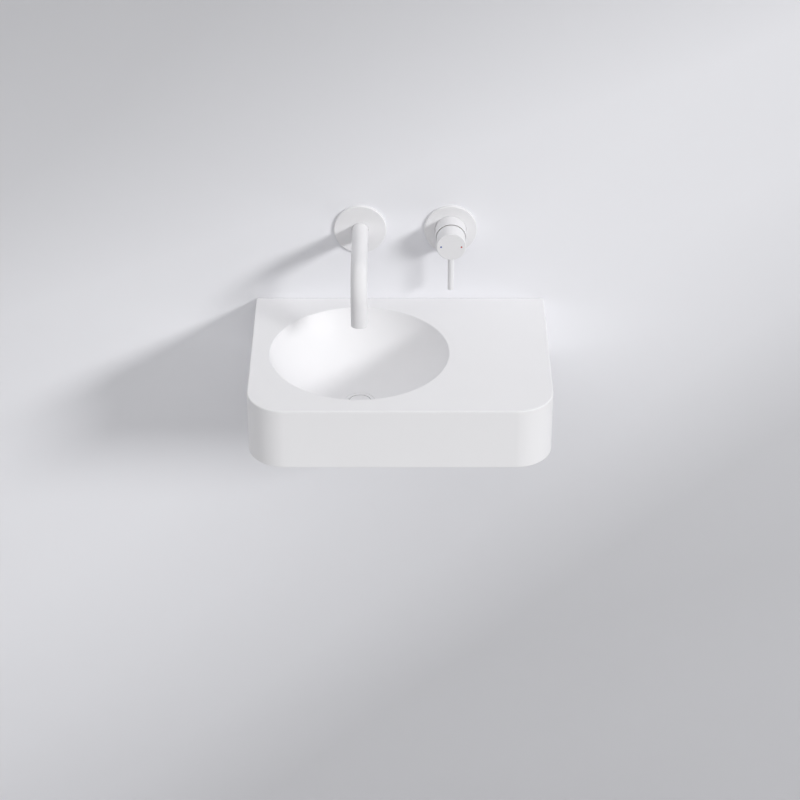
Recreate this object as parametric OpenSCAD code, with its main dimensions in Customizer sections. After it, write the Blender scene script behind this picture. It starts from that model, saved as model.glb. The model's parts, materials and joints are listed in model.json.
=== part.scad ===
// Small wall-hung washbasin with a wall spout, a single-lever wall mixer, a waste and a trap
// X runs to the right, Y into the wall and Z up, in millimetres
// The wall is the plane Y = 0, and the origin lies midway between the two wall bolts

/* [Basin] */
// Width across the front
basin_w = 400; // [360:5:480]
// Depth from the wall to the front face
basin_d = 295; // [285:5:340]
// Height of the apron
basin_h = 87; // [84:1:110]
// Radius of the two upright front corners
corner_r = 50; // [20:1:70]
// Radius along every outer edge
edge_r = 1.8; // [0.8:0.2:3]
// Thickness of the front and side aprons
apron_t = 12; // [9:1:14]
// Thickness of the deck
deck_t = 12; // [9:1:16]
// Thickness of the back wall
back_t = 16; // [12:1:20]
// Radius of the two inner corners at the back wall
inner_r = 6; // [3:1:12]

/* [Bowl] */
// How far the bowl's centre lies left of the middle
bowl_shift = 54.4; // [45:0.2:60]
// Distance from the wall to the bowl's centre
bowl_reach = 145.6; // [140:0.2:152]
// Radius of the bowl at the deck
bowl_r = 120; // [105:1:122]
// Depth of the bowl's floor below the deck
bowl_depth = 77; // [66:1:78]
// Thickness of the bowl's shell
shell_t = 9; // [7:1:10]
// Radius of the rim where the bowl meets the deck
rim_r = 2; // [1:0.5:4]
// Radius of the flat round the waste
flat_r = 24; // [22:1:28]
// Radius of the boss under the waste
boss_r = 31; // [28:1:34]
// Thickness of the floor at the boss
floor_t = 10; // [9:1:11]

/* [Wall bolts] */
// Distance between the two wall bolts
bolt_spacing = 280; // [260:5:300]
// Depth of the bolts below the top of the basin
bolt_drop = 42; // [34:1:50]
// Diameter of a bolt's metric thread, in the basin
bolt_d = 8; // [6:1:10]
// Diameter of a bolt's wood thread, in the wall
bolt_wall_d = 10; // [8:1:12]
// Length of a bolt inside the wall
bolt_wall_len = 70; // [50:5:100]
// Length of a bolt past its nut
bolt_spare = 5; // [3:1:10]
// Diameter of the sleeve round a bolt
bush_d = 18; // [16:0.2:22]
// Diameter of the sleeve's flange
bush_flange_d = 30; // [28:1:36]
// Thickness of the sleeve's flange
bush_flange_t = 3; // [2:0.5:4]
// Diameter of the washer
washer_d = 24; // [20:1:28]
// Thickness of the washer
washer_t = 2; // [1.5:0.5:3]
// Width of the nut across its flats
nut_af = 13; // [13:1:17]
// Thickness of the nut
nut_t = 6.5; // [5:0.5:8]

/* [Waste] */
// Diameter of the waste's flange
flange_d = 40; // [38:1:42]
// Thickness of the flange
flange_t = 2.2; // [2:0.1:2.6]
// Thickness of the seal under the flange
flange_seal_t = 0.6; // [0.4:0.1:1]
// Outside diameter of the threaded tail
tail_d = 33.2; // [32:0.2:34]
// Bore of the tail
tail_bore = 27; // [25:0.5:28]
// Diameter of the strainer's rim
strainer_rim_d = 30; // [29:0.2:30.6]
// Thickness of the strainer's rim
strainer_rim_t = 1.4; // [1:0.2:2]
// Depth of the well that the strainer sits in
well_h = 5; // [4:0.5:6]
// Diameter of the cover on the strainer
cover_d = 26; // [24:0.5:27]
// Thickness of the cover
cover_t = 1.8; // [1.4:0.2:2.4]
// Depth of the strainer's basket
strainer_h = 15; // [10:1:20]
// Thickness of the strainer's walls
strainer_wall = 1; // [0.8:0.1:1.4]
// Thickness of the seal under the basin
waste_seal_t = 3; // [2:0.5:4]
// Diameter of the nut under the basin
waste_nut_d = 50; // [46:1:56]
// Height of the nut under the basin
waste_nut_h = 8; // [6:1:12]

/* [Trap] */
// Length of tail held by the coupling nut
elbow_nut_grip = 10; // [8:1:14]
// Outside diameter of the coupling nut
elbow_nut_d = 44; // [42:1:50]
// Thickness of the flat seal in the coupling nut
elbow_seal_t = 2; // [1.5:0.5:3]
// Outside diameter of the elbow's neck
neck_d = 28; // [27:0.5:28.5]
// Wall of the elbow and the trap
trap_wall = 2.4; // [2:0.1:2.8]
// Centreline radius of the elbow
elbow_r = 18; // [17:1:22]
// Diameter of the horizontal pipes
pipe_d = 32; // [30:0.5:33]
// Wall of the horizontal pipes
pipe_wall = 1.5; // [1.2:0.1:2]
// Length of pipe held in a socket
socket_grip = 14; // [12:1:18]
// Share of the free length between the elbow and the wall plate that lies before the trap
trap_share = 0.615385; // [0.2:0.05:0.8]
// Outside diameter of the trap's body
trap_d = 56; // [54:1:60]
// Depth of water that seals the trap
water_seal = 50; // [50:1:60]
// Gap between the dip tube and the bottom of the cup
dip_gap = 11; // [8:1:15]
// Height of the cup's screwed joint
cup_grip = 14; // [10:1:16]
// Number of grip ribs round the cup
cup_ribs = 20; // [12:2:28]
// Length of the outlet pipe inside the wall
outlet_len = 60; // [40:5:100]
// Diameter of the cover round the outlet pipe
rosette_d = 68; // [60:1:74]

/* [Wall plates] */
// Height of both fittings above the top of the basin
tap_rise = 109.6; // [95:0.2:140]
// Diameter of both wall plates
plate_d = 72; // [66:1:76]
// Thickness of both wall plates
plate_t = 5; // [4:0.5:7]
// Radius on the front edge of a plate
plate_edge = 1.5; // [0.5:0.1:2]
// Wall of a plate's shell
plate_wall = 1.6; // [1.2:0.1:2]
// Wall of the boss that closes a plate round its pipe
plate_boss_wall = 4; // [3:0.5:6]

/* [Spout] */
// Distance from the wall to the nose of the spout
spout_reach = 146; // [130:1:160]
// Height of the nose above the top of the basin
nose_rise = 42; // [30:1:60]
// Outside diameter of the spout
spout_d = 22; // [20:0.5:24]
// Wall of the spout
spout_wall = 1.6; // [1.4:0.1:2]
// Centreline radius of the bend
spout_bend = 33; // [30:1:38]
// Length of the spigot that the spout slides over
spigot_len = 24; // [20:1:30]
// Height of the aerator
aerator_h = 9; // [8:0.5:12]
// How far the aerator sits up inside the nose
aerator_inset = 1; // [0.5:0.5:2]
// Pitch of the aerator's square grid
grid_pitch = 2.6; // [2.4:0.1:3]
// Width of one opening in the grid
grid_hole = 1.7; // [1.2:0.1:1.8]

/* [Mixer] */
// Distance between the spout and the mixer
tap_spacing = 123.6; // [115:0.2:135]
// Diameter of the fixed sleeve
sleeve_d = 42.4; // [42:0.2:44]
// Distance from the wall to the front of the sleeve
sleeve_len = 27.5; // [26:0.5:29]
// Width of the groove between the sleeve and the handle
groove_w = 0.7; // [0.6:0.1:2]
// Diameter of the handle's cap
cap_d = 39.6; // [38:0.2:40]
// Length of the handle's cap
cap_len = 25.8; // [24:0.1:28]
// Wall of the cap's skirt
cap_wall = 2.4; // [2:0.1:2.6]
// Thickness of the cap's front
cap_front_t = 4; // [3:0.5:5]
// Radius on the cap's front edge
cap_edge = 1; // [0.5:0.1:1.5]
// Diameter of the lever pin
lever_d = 8.4; // [7:0.2:10]
// Distance from the mixer's axis to the end of the lever pin
lever_len = 71; // [60:1:85]
// Distance from the mixer's axis to each coloured dot
dot_offset = 13.8; // [12:0.2:15]
// Diameter of a coloured dot
dot_d = 2.4; // [2:0.2:3]

/* [Cartridge] */
// Distance from the wall to the handle's tilting axis
pivot_out = 32; // [31.5:0.5:33]
// Diameter of the cartridge's housing
housing_d = 25; // [24.6:0.2:25.4]
// Bore of the cartridge's housing
housing_bore = 21.4; // [21:0.1:21.8]
// Distance from the wall to the bottom of the cartridge's pocket
pocket_out = 5; // [4.5:0.5:5.5]
// Thickness of the cartridge's base
base_t = 5; // [4.5:0.5:5]
// Thickness of each ceramic disc
disc_t = 3.6; // [3.4:0.1:3.8]
// Diameter of the moving disc
moving_disc_d = 16; // [15:0.2:16.2]
// How far the moving disc lies off the axis when it is shut
disc_shift = 2.2; // [2:0.1:2.3]
// Thickness of the driver on the moving disc
driver_t = 3.4; // [3:0.1:3.6]
// Width of the spindle's square
spindle_w = 7; // [6:0.2:7.4]
// Diameter of the ball on the spindle's tail
ball_d = 4; // [3.6:0.2:4.2]
// Diameter of the pivot pin
pivot_d = 3; // [2.5:0.1:3.4]

/* [In the wall] */
// Depth of the link pipe behind the wall's face
link_depth = 34; // [32:1:38]
// Diameter of the link pipe
link_d = 15; // [14:0.5:16]
// Wall of the link pipe
link_wall = 1; // [0.8:0.1:1.2]
// Depth of the water inlets behind the wall's face
inlet_depth = 50; // [49:1:54]
// Distance between the hot and cold inlets
inlet_spacing = 42; // [40:1:46]
// Bore of a half-inch female thread
thread_bore = 19; // [18.6:0.1:19.2]
// Length of a female thread
thread_len = 15; // [13:1:17]

/* [Clearances] */
// Gap all round between a part and what it slips through
slip = 0.2; // [0.1:0.05:0.3]
// Gap all round in a screwed joint
screw_gap = 0.1; // [0.05:0.05:0.15]
// Gap all round in a turning joint
run_gap = 0.05; // [0.03:0.01:0.08]

/* [Hidden] */
$fn = 96;
fine_fn = 40;
cut = 1;

matt_white = [0.93, 0.93, 0.92];
cast_white = [0.95, 0.95, 0.94];
plastic_white = [0.9, 0.9, 0.88];
plastic_grey = [0.45, 0.46, 0.47];
rubber_black = [0.12, 0.12, 0.12];
brass_yellow = [0.78, 0.62, 0.32];
copper_red = [0.78, 0.46, 0.33];
steel_grey = [0.66, 0.67, 0.68];
ceramic_white = [0.88, 0.86, 0.8];
hot_red = [0.8, 0.12, 0.1];
cold_blue = [0.1, 0.25, 0.75];

// Main levels and places
top_z = bolt_drop;
under_z = top_z - basin_h;
floor_z = top_z - bowl_depth;
boss_z = floor_z - floor_t;
bowl_x = -bowl_shift;
mixer_x = bowl_x + tap_spacing;
tap_z = top_z + tap_rise;

// The bowl is a sphere that meets the deck at bowl_r and the flat round the waste at flat_r
sphere_up = (pow(bowl_r, 2) - pow(flat_r, 2) - pow(bowl_depth, 2)) / (2 * bowl_depth);
sphere_r = sqrt(pow(bowl_r, 2) + pow(sphere_up, 2));
// The rim's round section touches the sphere and meets the deck at a slight angle
rim_drop = 0.97 * rim_r;
rim_x = sqrt(pow(sphere_r + rim_r, 2) - pow(sphere_up + rim_drop, 2));
rim_share = sphere_r / (sphere_r + rim_r);
rim_touch = [rim_x * rim_share, sphere_up - (sphere_up + rim_drop) * rim_share];

// Wall bolts, from the back wall forwards
bush_face = back_t + bush_flange_t;
nut_face = bush_face + washer_t + nut_t;

// Waste, from the bowl's floor down
flange_seat_z = floor_z - flange_t - flange_seal_t;
ledge_z = floor_z - well_h;
waste_nut_z = boss_z - waste_seal_t - waste_nut_h;
thread_run = 2;
tail_end_z = waste_nut_z - thread_run - elbow_nut_grip;
neck_flange_t = 3;
neck_lip = 3;
neck_top_z = tail_end_z - elbow_seal_t;
elbow_nut_end_z = neck_top_z - neck_flange_t - neck_lip;
elbow_clear = 1;
elbow_top_z = elbow_nut_end_z - elbow_clear;
drain_z = elbow_top_z - elbow_r;
neck_bore = neck_d - 2 * trap_wall;

// Sockets that hold a pipe with a nut and a cone seal
socket_wall = 4.6;
socket_bore = pipe_d + 2 * slip;
socket_d = socket_bore + 2 * socket_wall;
socket_nut_wall = 4;
socket_nut_d = socket_d + 2 * socket_nut_wall;
socket_nut_lip = 3;
shoulder_h = 4;
nut_flutes = 14;
cone_t = 4;
socket_stop = 2;
elbow_socket_back_y = -bowl_reach + elbow_nut_d / 2 + elbow_clear;
elbow_socket_y = elbow_socket_back_y + socket_stop + socket_grip;
pipe_bore = pipe_d - 2 * pipe_wall;

// Trap
dip_end_z = drain_z - pipe_bore / 2 - water_seal;
cup_floor_z = dip_end_z - dip_gap;
cup_wall = 2.6;
cup_seal_t = 2;
trap_collar = 4;
trap_top_z = drain_z + pipe_d / 2 + trap_collar;
cup_gap = 0.8;
trap_end_z = drain_z - socket_d / 2 - cup_gap - cup_grip;
cup_d = trap_d + 2 * (cup_wall + screw_gap);
trap_socket_in = 2;
rosette_t = 5;
trap_len = trap_d + socket_grip + 2 * cone_t + socket_nut_lip - trap_socket_in;
trap_front_y = elbow_socket_y + cone_t + socket_nut_lip;
trap_slack = -rosette_t - trap_front_y - trap_len;
trap_reach = -(trap_front_y + trap_share * trap_slack + trap_d / 2);
trap_socket_y = -trap_reach + trap_d / 2 + socket_grip + cone_t - trap_socket_in;
dip_bore = neck_bore + 2;

// Wall plates
plate_seal_t = 1;
oring_t = 2;
oring_ease = 0.03;
spout_plate_bore = spout_d + 2 * slip;
mixer_plate_bore = sleeve_d + 2 * slip;

// Spout
bend_y = -(spout_reach - spout_bend);
nose_z = top_z + nose_rise;
spout_bore = spout_d - 2 * spout_wall;
spigot_d = spout_bore - 2 * slip;
spout_back = 5;
hex_t = 6;
hex_af = 22;
nipple_bore = 11;
nipple_thread_len = 16;
nipple_face = -spout_back - 1;
groove_half = oring_t / 2 + 0.2;
nipple_ring_z = [nipple_face + 4, nipple_face + spigot_len - 3];
screw_d = 5;
screw_out = plate_t + 5;
arm_len = 24;
arm_socket = 10;

// Mixer stack, from the pocket's bottom outwards
seat_gap = 0.4;
base_z = pocket_out + seat_gap;
fixed_z = base_z + base_t;
disc_gap = 0.05;
moving_z = fixed_z + disc_t + disc_gap;
driver_z = moving_z + disc_t;
turret_gap = 0.3;
turret_z = driver_z + driver_t + turret_gap;
driver_floor = 0.5;
ball_gap = 0.25;
ball_z = driver_z + driver_floor + ball_gap + ball_d / 2;
turret_end = pivot_out + 4.2;
housing_end = turret_end + 2;
lip_gap = 0.3;
cap_back = sleeve_len + groove_w;
cap_end = cap_back + cap_len;
cap_bore = cap_d - 2 * cap_wall;
boss_len = 7;
boss_d = 16;
lever_out = cap_end - cap_front_t - boss_len / 2;
spindle_t = 6;
spindle_rod_d = 3;
stud_d = 5;
spot_depth = 0.7;
sleeve_bore = cap_d + 0.8;
neck_thread_d = 34;
sleeve_grip = 15;
nut_bore_d = 31.2;
housing_flange_d = 29;
housing_flange_t = 3;
retaining_t = 8;
neck_end = base_z + base_t + housing_flange_t + retaining_t - 4;
body_front = -6;
body_past_inlets = 14;
body_back = -(inlet_depth + body_past_inlets);
body_d = 52;
ear_turn = 40;
link_socket = 8;
link_x0 = bowl_x + arm_len - arm_socket + slip;
link_x1 = mixer_x - body_d / 2 + link_socket;

// The cartridge's ports: hot and cold below, mixed above
port_x = 4.5;
port_y = -3;
outlet_y = 4.5;
port_d = 5.4;
port_bore = 3.8;
mixing_d = 9;
mixing_rise = 1.5;

// A rod between two heights on the local Z axis
module rod(d, z0, z1) {
    translate([0, 0, z0])
        cylinder(d = d, h = z1 - z0);
}

// A plain ring between two heights on the local Z axis
module ring(d_out, d_in, z0, z1) {
    difference() {
        rod(d_out, z0, z1);
        rod(d_in, z0 - cut, z1 + cut);
    }
}

// A disc whose front edge is rounded
module soft_disc(d, z0, z1, r) {
    rotate_extrude() {
        translate([0, z0])
            square([d / 2 - r, z1 - z0]);
        translate([0, z0])
            square([d / 2, z1 - z0 - r]);
        translate([d / 2 - r, z1 - r])
            circle(r = r, $fn = fine_fn);
    }
}

// A ring of round section, such as an O-ring
module round_ring(d_mean, t, z) {
    translate([0, 0, z])
        rotate_extrude()
            translate([d_mean / 2, 0])
                circle(d = t, $fn = fine_fn);
}

// A six-sided bar between two heights
module hex_bar(af, z0, z1) {
    translate([0, 0, z0])
        cylinder(d = af / cos(30), h = z1 - z0, $fn = 6);
}

// Places what stands out of the wall: local Z leaves the wall and local Y is up
module out_of_wall(x, z) {
    translate([x, 0, z])
        rotate([90, 0, 0])
            children();
}

// A quarter of a pipe's bend in the plane across the wall, starting at an angle from the wall's normal
module bend(y, z, r, d, from) {
    translate([bowl_x, y, z])
        rotate([90, 0, 90])
            rotate([0, 0, from])
                rotate_extrude(angle = 90)
                    translate([r, 0])
                        circle(d = d);
}

// A rod on the bowl's middle plane that runs into the wall
module level_rod(d, y0, y1, z) {
    translate([bowl_x, y0, z])
        rotate([-90, 0, 0])
            cylinder(d = d, h = y1 - y0);
}

// A post with rounded ends, from which the basin's outer form is drawn
module corner_post(r) {
    for (z = [under_z + edge_r, top_z - edge_r])
        translate([0, 0, z])
            rotate_extrude($fn = 96)
                translate([r - edge_r, 0])
                    intersection() {
                        circle(r = edge_r, $fn = 24);
                        translate([0, -edge_r])
                            square(2 * edge_r);
                    }
}

module basin_form() {
    hull() {
        for (side = [-1, 1]) {
            translate([side * (basin_w / 2 - corner_r), -(basin_d - corner_r), 0])
                corner_post(corner_r);
            for (z = [under_z + edge_r, top_z - edge_r])
                translate([side * (basin_w / 2 - edge_r), -edge_r, z])
                    sphere(r = edge_r, $fn = 24);
        }
    }
}

// The open room under the deck, inside the aprons
module room_below() {
    front_r = corner_r - apron_t;
    room_x = basin_w / 2 - apron_t;
    room_y = basin_d - apron_t;
    translate([0, 0, under_z - cut])
        linear_extrude(top_z - deck_t - under_z + cut) {
            translate([-room_x, -(room_y - front_r)])
                square([2 * room_x, room_y - front_r - back_t - inner_r]);
            translate([-(room_x - front_r), -room_y])
                square([2 * (room_x - front_r), front_r + cut]);
            translate([-(room_x - inner_r), -back_t - 2 * inner_r])
                square([2 * (room_x - inner_r), 2 * inner_r]);
            for (side = [-1, 1]) {
                translate([side * (room_x - front_r), -(room_y - front_r)])
                    circle(r = front_r);
                translate([side * (room_x - inner_r), -back_t - inner_r])
                    circle(r = inner_r);
            }
        }
}

// Everything inside the bowl, with its rim turned over into the deck
module bowl_room() {
    translate([bowl_x, -bowl_reach, top_z])
        rotate_extrude() {
            intersection() {
                translate([0, sphere_up])
                    circle(r = sphere_r, $fn = 180);
                translate([0, -bowl_depth])
                    square([sphere_r, bowl_depth + rim_touch[1]]);
            }
            difference() {
                polygon([
                    [0, cut], [rim_x, cut], [rim_x, 0], rim_touch, [0, rim_touch[1]]
                ]);
                translate([rim_x, -rim_drop])
                    circle(r = rim_r, $fn = fine_fn);
            }
        }
}

// The bowl's shell seen from below, filled in
module bowl_shell() {
    translate([bowl_x, -bowl_reach, top_z])
        rotate_extrude()
            intersection() {
                translate([0, sphere_up])
                    circle(r = sphere_r + shell_t, $fn = 180);
                translate([0, boss_z - top_z])
                    square([sphere_r + shell_t, top_z - boss_z - cut]);
            }
}

module basin() {
    color(cast_white)
        difference() {
            union() {
                difference() {
                    basin_form();
                    difference() {
                        room_below();
                        bowl_shell();
                    }
                }
                at_waste()
                    rod(2 * boss_r, boss_z, floor_z);
            }
            bowl_room();
            at_waste() {
                rod(flange_d + 2 * slip, flange_seat_z, floor_z + cut);
                rod(tail_d + 2 * slip, boss_z - cut, floor_z);
            }
            at_bolts()
                rod(bush_d + 2 * slip, -cut, back_t + cut);
        }
}

// Both places of the wall bolts
module at_bolts() {
    for (side = [-1, 1])
        out_of_wall(side * bolt_spacing / 2, 0)
            children();
}

module wall_bolts() {
    tip = 5;
    tip_d = 2;
    wall_start = 0.5;
    color(steel_grey)
        at_bolts() {
            rod(bolt_d, -wall_start, nut_face + bolt_spare);
            rod(bolt_wall_d, -bolt_wall_len + tip, -wall_start);
            translate([0, 0, -bolt_wall_len])
                cylinder(d1 = tip_d, d2 = bolt_wall_d, h = tip);
        }
}

module bolt_bushes() {
    color(plastic_white)
        at_bolts()
            difference() {
                union() {
                    rod(bush_d, 0, back_t);
                    rod(bush_flange_d, back_t, bush_face);
                }
                rod(bolt_d + 2 * slip, -cut, bush_face + cut);
            }
}

module bolt_washers() {
    color(steel_grey)
        at_bolts()
            ring(washer_d, bolt_d + 2 * slip, bush_face, bush_face + washer_t);
}

module bolt_nuts() {
    color(steel_grey)
        at_bolts()
            difference() {
                intersection() {
                    hex_bar(nut_af, bush_face + washer_t, nut_face);
                    translate([0, 0, bush_face + washer_t - cut])
                        cylinder(d1 = 2 * nut_af, d2 = nut_af, h = nut_t + 2 * cut);
                }
                rod(bolt_d + 2 * screw_gap, bush_face, nut_face + cut);
            }
}

// The waste's axis
module at_waste() {
    translate([bowl_x, -bowl_reach, 0])
        children();
}

module waste_body() {
    color(matt_white)
        at_waste()
            difference() {
                union() {
                    soft_disc(flange_d, floor_z - flange_t, floor_z, 0.6);
                    rod(tail_d, tail_end_z, floor_z - flange_t / 2);
                }
                rod(strainer_rim_d + 2 * slip, ledge_z, floor_z + cut);
                rod(tail_bore, tail_end_z - cut, floor_z);
            }
}

module flange_seal() {
    color(rubber_black)
        at_waste()
            ring(flange_d - 1, tail_d + 2 * slip, flange_seat_z, flange_seat_z + flange_seal_t);
}

module waste_strainer() {
    basket_d = tail_bore - 2 * slip;
    basket_z = ledge_z - strainer_h;
    slots = 10;
    stem_d = 4;
    cover_z = floor_z - slip;
    color(matt_white)
        at_waste() {
            difference() {
                union() {
                    rod(basket_d, basket_z, ledge_z + cut);
                    rod(strainer_rim_d, ledge_z, ledge_z + strainer_rim_t);
                }
                rod(basket_d - 2 * strainer_wall, basket_z + strainer_wall, floor_z + cut);
                for (i = [0 : slots - 1])
                    rotate(i * 360 / slots)
                        translate([basket_d / 2 - 2 * strainer_wall, -1, basket_z + 3])
                            cube([4 * strainer_wall, 2, strainer_h - 6]);
                for (i = [0 : 5])
                    rotate(i * 60)
                        translate([basket_d / 3.2, 0, 0])
                            rod(3, basket_z - cut, basket_z + 2 * strainer_wall);
            }
            rod(stem_d, basket_z, cover_z - cover_t / 2);
            soft_disc(cover_d, cover_z - cover_t, cover_z, 0.6);
        }
}

module waste_seal() {
    color(rubber_black)
        at_waste()
            ring(waste_nut_d - 2, tail_d + 2 * slip, boss_z - waste_seal_t, boss_z);
}

// A round nut with flutes for the fingers
module fluted_nut(d, z0, z1, flutes) {
    difference() {
        rod(d, z0, z1);
        for (i = [0 : flutes - 1])
            rotate(i * 360 / flutes)
                translate([d / 2 + 1, 0, 0])
                    cylinder(d = 4, h = 4 * (z1 - z0), center = true, $fn = fine_fn);
    }
}

module waste_nut() {
    color(plastic_white)
        at_waste()
            difference() {
                translate([0, 0, waste_nut_z])
                    fluted_nut(waste_nut_d, 0, waste_nut_h, 12);
                rod(tail_d + 2 * screw_gap, waste_nut_z - cut, boss_z);
            }
}

module elbow_nut() {
    color(plastic_white)
        at_waste()
            difference() {
                translate([0, 0, elbow_nut_end_z])
                    fluted_nut(elbow_nut_d, 0, waste_nut_z - thread_run - elbow_nut_end_z, 12);
                rod(tail_d + 2 * screw_gap, neck_top_z - neck_flange_t, waste_nut_z);
                rod(neck_d + 2 * slip, elbow_nut_end_z - cut, waste_nut_z);
            }
}

module elbow_seal() {
    color(rubber_black)
        at_waste()
            ring(tail_d - 2 * slip, neck_bore, neck_top_z, tail_end_z);
}

module waste_elbow() {
    color(plastic_white)
        difference() {
            union() {
                at_waste() {
                    rod(tail_d - 2 * slip, neck_top_z - neck_flange_t, neck_top_z);
                    rod(neck_d, elbow_top_z, neck_top_z);
                }
                bend(-bowl_reach + elbow_r, elbow_top_z, elbow_r, neck_d, 180);
                level_rod(neck_d, -bowl_reach + elbow_r, elbow_socket_y, drain_z);
                level_rod(socket_d, elbow_socket_back_y, elbow_socket_y, drain_z);
            }
            at_waste()
                rod(neck_bore, elbow_top_z, neck_top_z + cut);
            bend(-bowl_reach + elbow_r, elbow_top_z, elbow_r, neck_bore, 180);
            level_rod(neck_bore, -bowl_reach + elbow_r, elbow_socket_y, drain_z);
            level_rod(socket_bore, elbow_socket_y - socket_grip, elbow_socket_y + cut, drain_z);
        }
}

// A nut that draws a cone seal into the mouth of a socket, placed at the socket's face
module socket_nut(face_y) {
    length = socket_grip + cone_t + socket_nut_lip;
    translate([bowl_x, face_y + cone_t + socket_nut_lip, drain_z])
        rotate([90, 0, 0])
            difference() {
                intersection() {
                    fluted_nut(socket_nut_d, 0, length - cone_t, nut_flutes);
                    union() {
                        cylinder(d1 = socket_d, d2 = socket_nut_d + 2, h = shoulder_h);
                        rod(socket_nut_d + 2, shoulder_h, length);
                    }
                }
                rod(socket_d + 2 * screw_gap, socket_nut_lip, length);
                rod(pipe_d + 2 * slip, -cut, length);
            }
}

module pipe_nuts() {
    color(plastic_white) {
        socket_nut(elbow_socket_y);
        socket_nut(trap_socket_y);
    }
}

// A seal with a sloped side between the socket's face and the nut's lip
module cone_seal(face_y) {
    seal_d = socket_d - 1;
    translate([bowl_x, face_y, drain_z])
        rotate([-90, 0, 0])
            difference() {
                cylinder(d1 = seal_d, d2 = seal_d - 3, h = cone_t);
                rod(pipe_d + slip, -cut, cone_t + cut);
            }
}

module pipe_seals() {
    color(rubber_black) {
        cone_seal(elbow_socket_y);
        cone_seal(trap_socket_y);
    }
}

// The trap's upright axis
module at_trap() {
    translate([bowl_x, -trap_reach, 0])
        children();
}

module trap_body() {
    dip_d = dip_bore + 2 * trap_wall;
    roof_z = trap_top_z - trap_wall;
    color(plastic_white)
        difference() {
            union() {
                difference() {
                    union() {
                        at_trap()
                            soft_disc(trap_d, trap_end_z, trap_top_z, 3);
                        level_rod(socket_d, -trap_reach, trap_socket_y, drain_z);
                    }
                    at_trap()
                        rod(trap_d - 2 * trap_wall, trap_end_z - cut, roof_z);
                    level_rod(pipe_bore, -trap_reach, trap_socket_y, drain_z);
                    level_rod(socket_bore, trap_socket_y - socket_grip, trap_socket_y + cut, drain_z);
                }
                level_rod(pipe_d, elbow_socket_y - socket_grip + slip, -trap_reach - dip_bore / 2, drain_z);
                at_trap()
                    rod(dip_d, dip_end_z, roof_z + trap_wall / 2);
            }
            level_rod(neck_bore, elbow_socket_y - socket_grip, -trap_reach, drain_z);
            at_trap()
                rod(dip_bore, dip_end_z - cut, roof_z);
        }
}

module cup_seal() {
    color(rubber_black)
        at_trap()
            ring(trap_d, trap_d - 2 * trap_wall, trap_end_z - cup_seal_t, trap_end_z);
}

module trap_cup() {
    bore = trap_d - 2 * trap_wall;
    seat_z = trap_end_z - cup_seal_t;
    slope_h = bore / 4;
    slope_in = 6;
    rib_w = 1.6;
    rib_out = 1;
    rib_drop = 6;
    color(plastic_white)
        at_trap() {
            difference() {
                rod(cup_d, cup_floor_z - cup_wall, trap_end_z + cup_grip);
                rod(trap_d + 2 * screw_gap, seat_z, trap_end_z + cup_grip + cut);
                rod(bore, cup_floor_z + slope_h, seat_z + cut);
                translate([0, 0, cup_floor_z])
                    cylinder(d1 = bore - 2 * slope_in, d2 = bore, h = slope_h + 0.01);
            }
            for (i = [0 : cup_ribs - 1])
                rotate(i * 360 / cup_ribs)
                    translate([cup_d / 2 - rib_out / 2, -rib_w / 2, trap_end_z - rib_drop])
                        cube([1.5 * rib_out, rib_w, cup_grip + rib_drop - 2]);
        }
}

// The outlet pipe, with a ring groove that marks how far it goes into the wall
module wall_pipe() {
    y0 = trap_socket_y - socket_grip + slip;
    mark_y = 1;
    mark_w = 1;
    mark_depth = 0.4;
    color(plastic_white)
        difference() {
            level_rod(pipe_d, y0, outlet_len, drain_z);
            level_rod(pipe_bore, y0 - cut, outlet_len + cut, drain_z);
            difference() {
                level_rod(pipe_d + cut, mark_y, mark_y + mark_w, drain_z);
                level_rod(pipe_d - 2 * mark_depth, mark_y - cut, mark_y + mark_w + cut, drain_z);
            }
        }
}

module wall_rosette() {
    rosette_edge = 2;
    rosette_boss_wall = 4;
    color(plastic_white)
        out_of_wall(bowl_x, drain_z)
            difference() {
                soft_disc(rosette_d, 0, rosette_t, rosette_edge);
                rod(pipe_d + 2 * slip, -cut, rosette_t + cut);
                ring(
                    rosette_d - 2 * plate_wall, pipe_d + 2 * rosette_boss_wall,
                    -cut, rosette_t - plate_wall
                );
            }
}

// A wall plate: a thin shell with a boss round what passes through it
module wall_plate(x, bore) {
    boss = bore + 2 * plate_boss_wall;
    color(matt_white)
        out_of_wall(x, tap_z)
            difference() {
                soft_disc(plate_d, 0, plate_t, plate_edge);
                rod(bore, -cut, plate_t + cut);
                ring(plate_d - 4 * plate_wall, boss, -cut, plate_t - plate_wall);
                round_ring(bore - 2 * slip + oring_t, oring_t + 2 * screw_gap, plate_t / 2);
            }
}

// The flat seal between a wall plate and the wall
module plate_seal(x, bore) {
    color(rubber_black)
        out_of_wall(x, tap_z)
            ring(plate_d - 4 * plate_wall - 1, bore + 2 * plate_boss_wall + 1, 0, plate_seal_t);
}

module spout_plate() wall_plate(bowl_x, spout_plate_bore);

module spout_plate_seal() plate_seal(bowl_x, spout_plate_bore);

module spout_plate_oring() {
    color(rubber_black)
        out_of_wall(bowl_x, tap_z)
            plate_oring(spout_d);
}

// An O-ring that fills a plate's groove and bears on the pipe inside it
module plate_oring(d) {
    round_ring(d + oring_t + 2 * oring_ease, oring_t, plate_t / 2);
}

// The spout's path, filled with a round section
module spout_path(d, over) {
    level_rod(d, bend_y, spout_back + over, tap_z);
    bend(bend_y, tap_z - spout_bend, spout_bend, d, 90);
    translate([bowl_x, -spout_reach, nose_z - over])
        cylinder(d = d, h = tap_z - spout_bend - nose_z + over);
}

module spout_tube() {
    color(matt_white)
        difference() {
            spout_path(spout_d, 0);
            spout_path(spout_bore, cut);
            translate([bowl_x, -screw_out, tap_z - spout_d])
                cylinder(d = screw_d + 2 * screw_gap, h = spout_d);
        }
}

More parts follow.
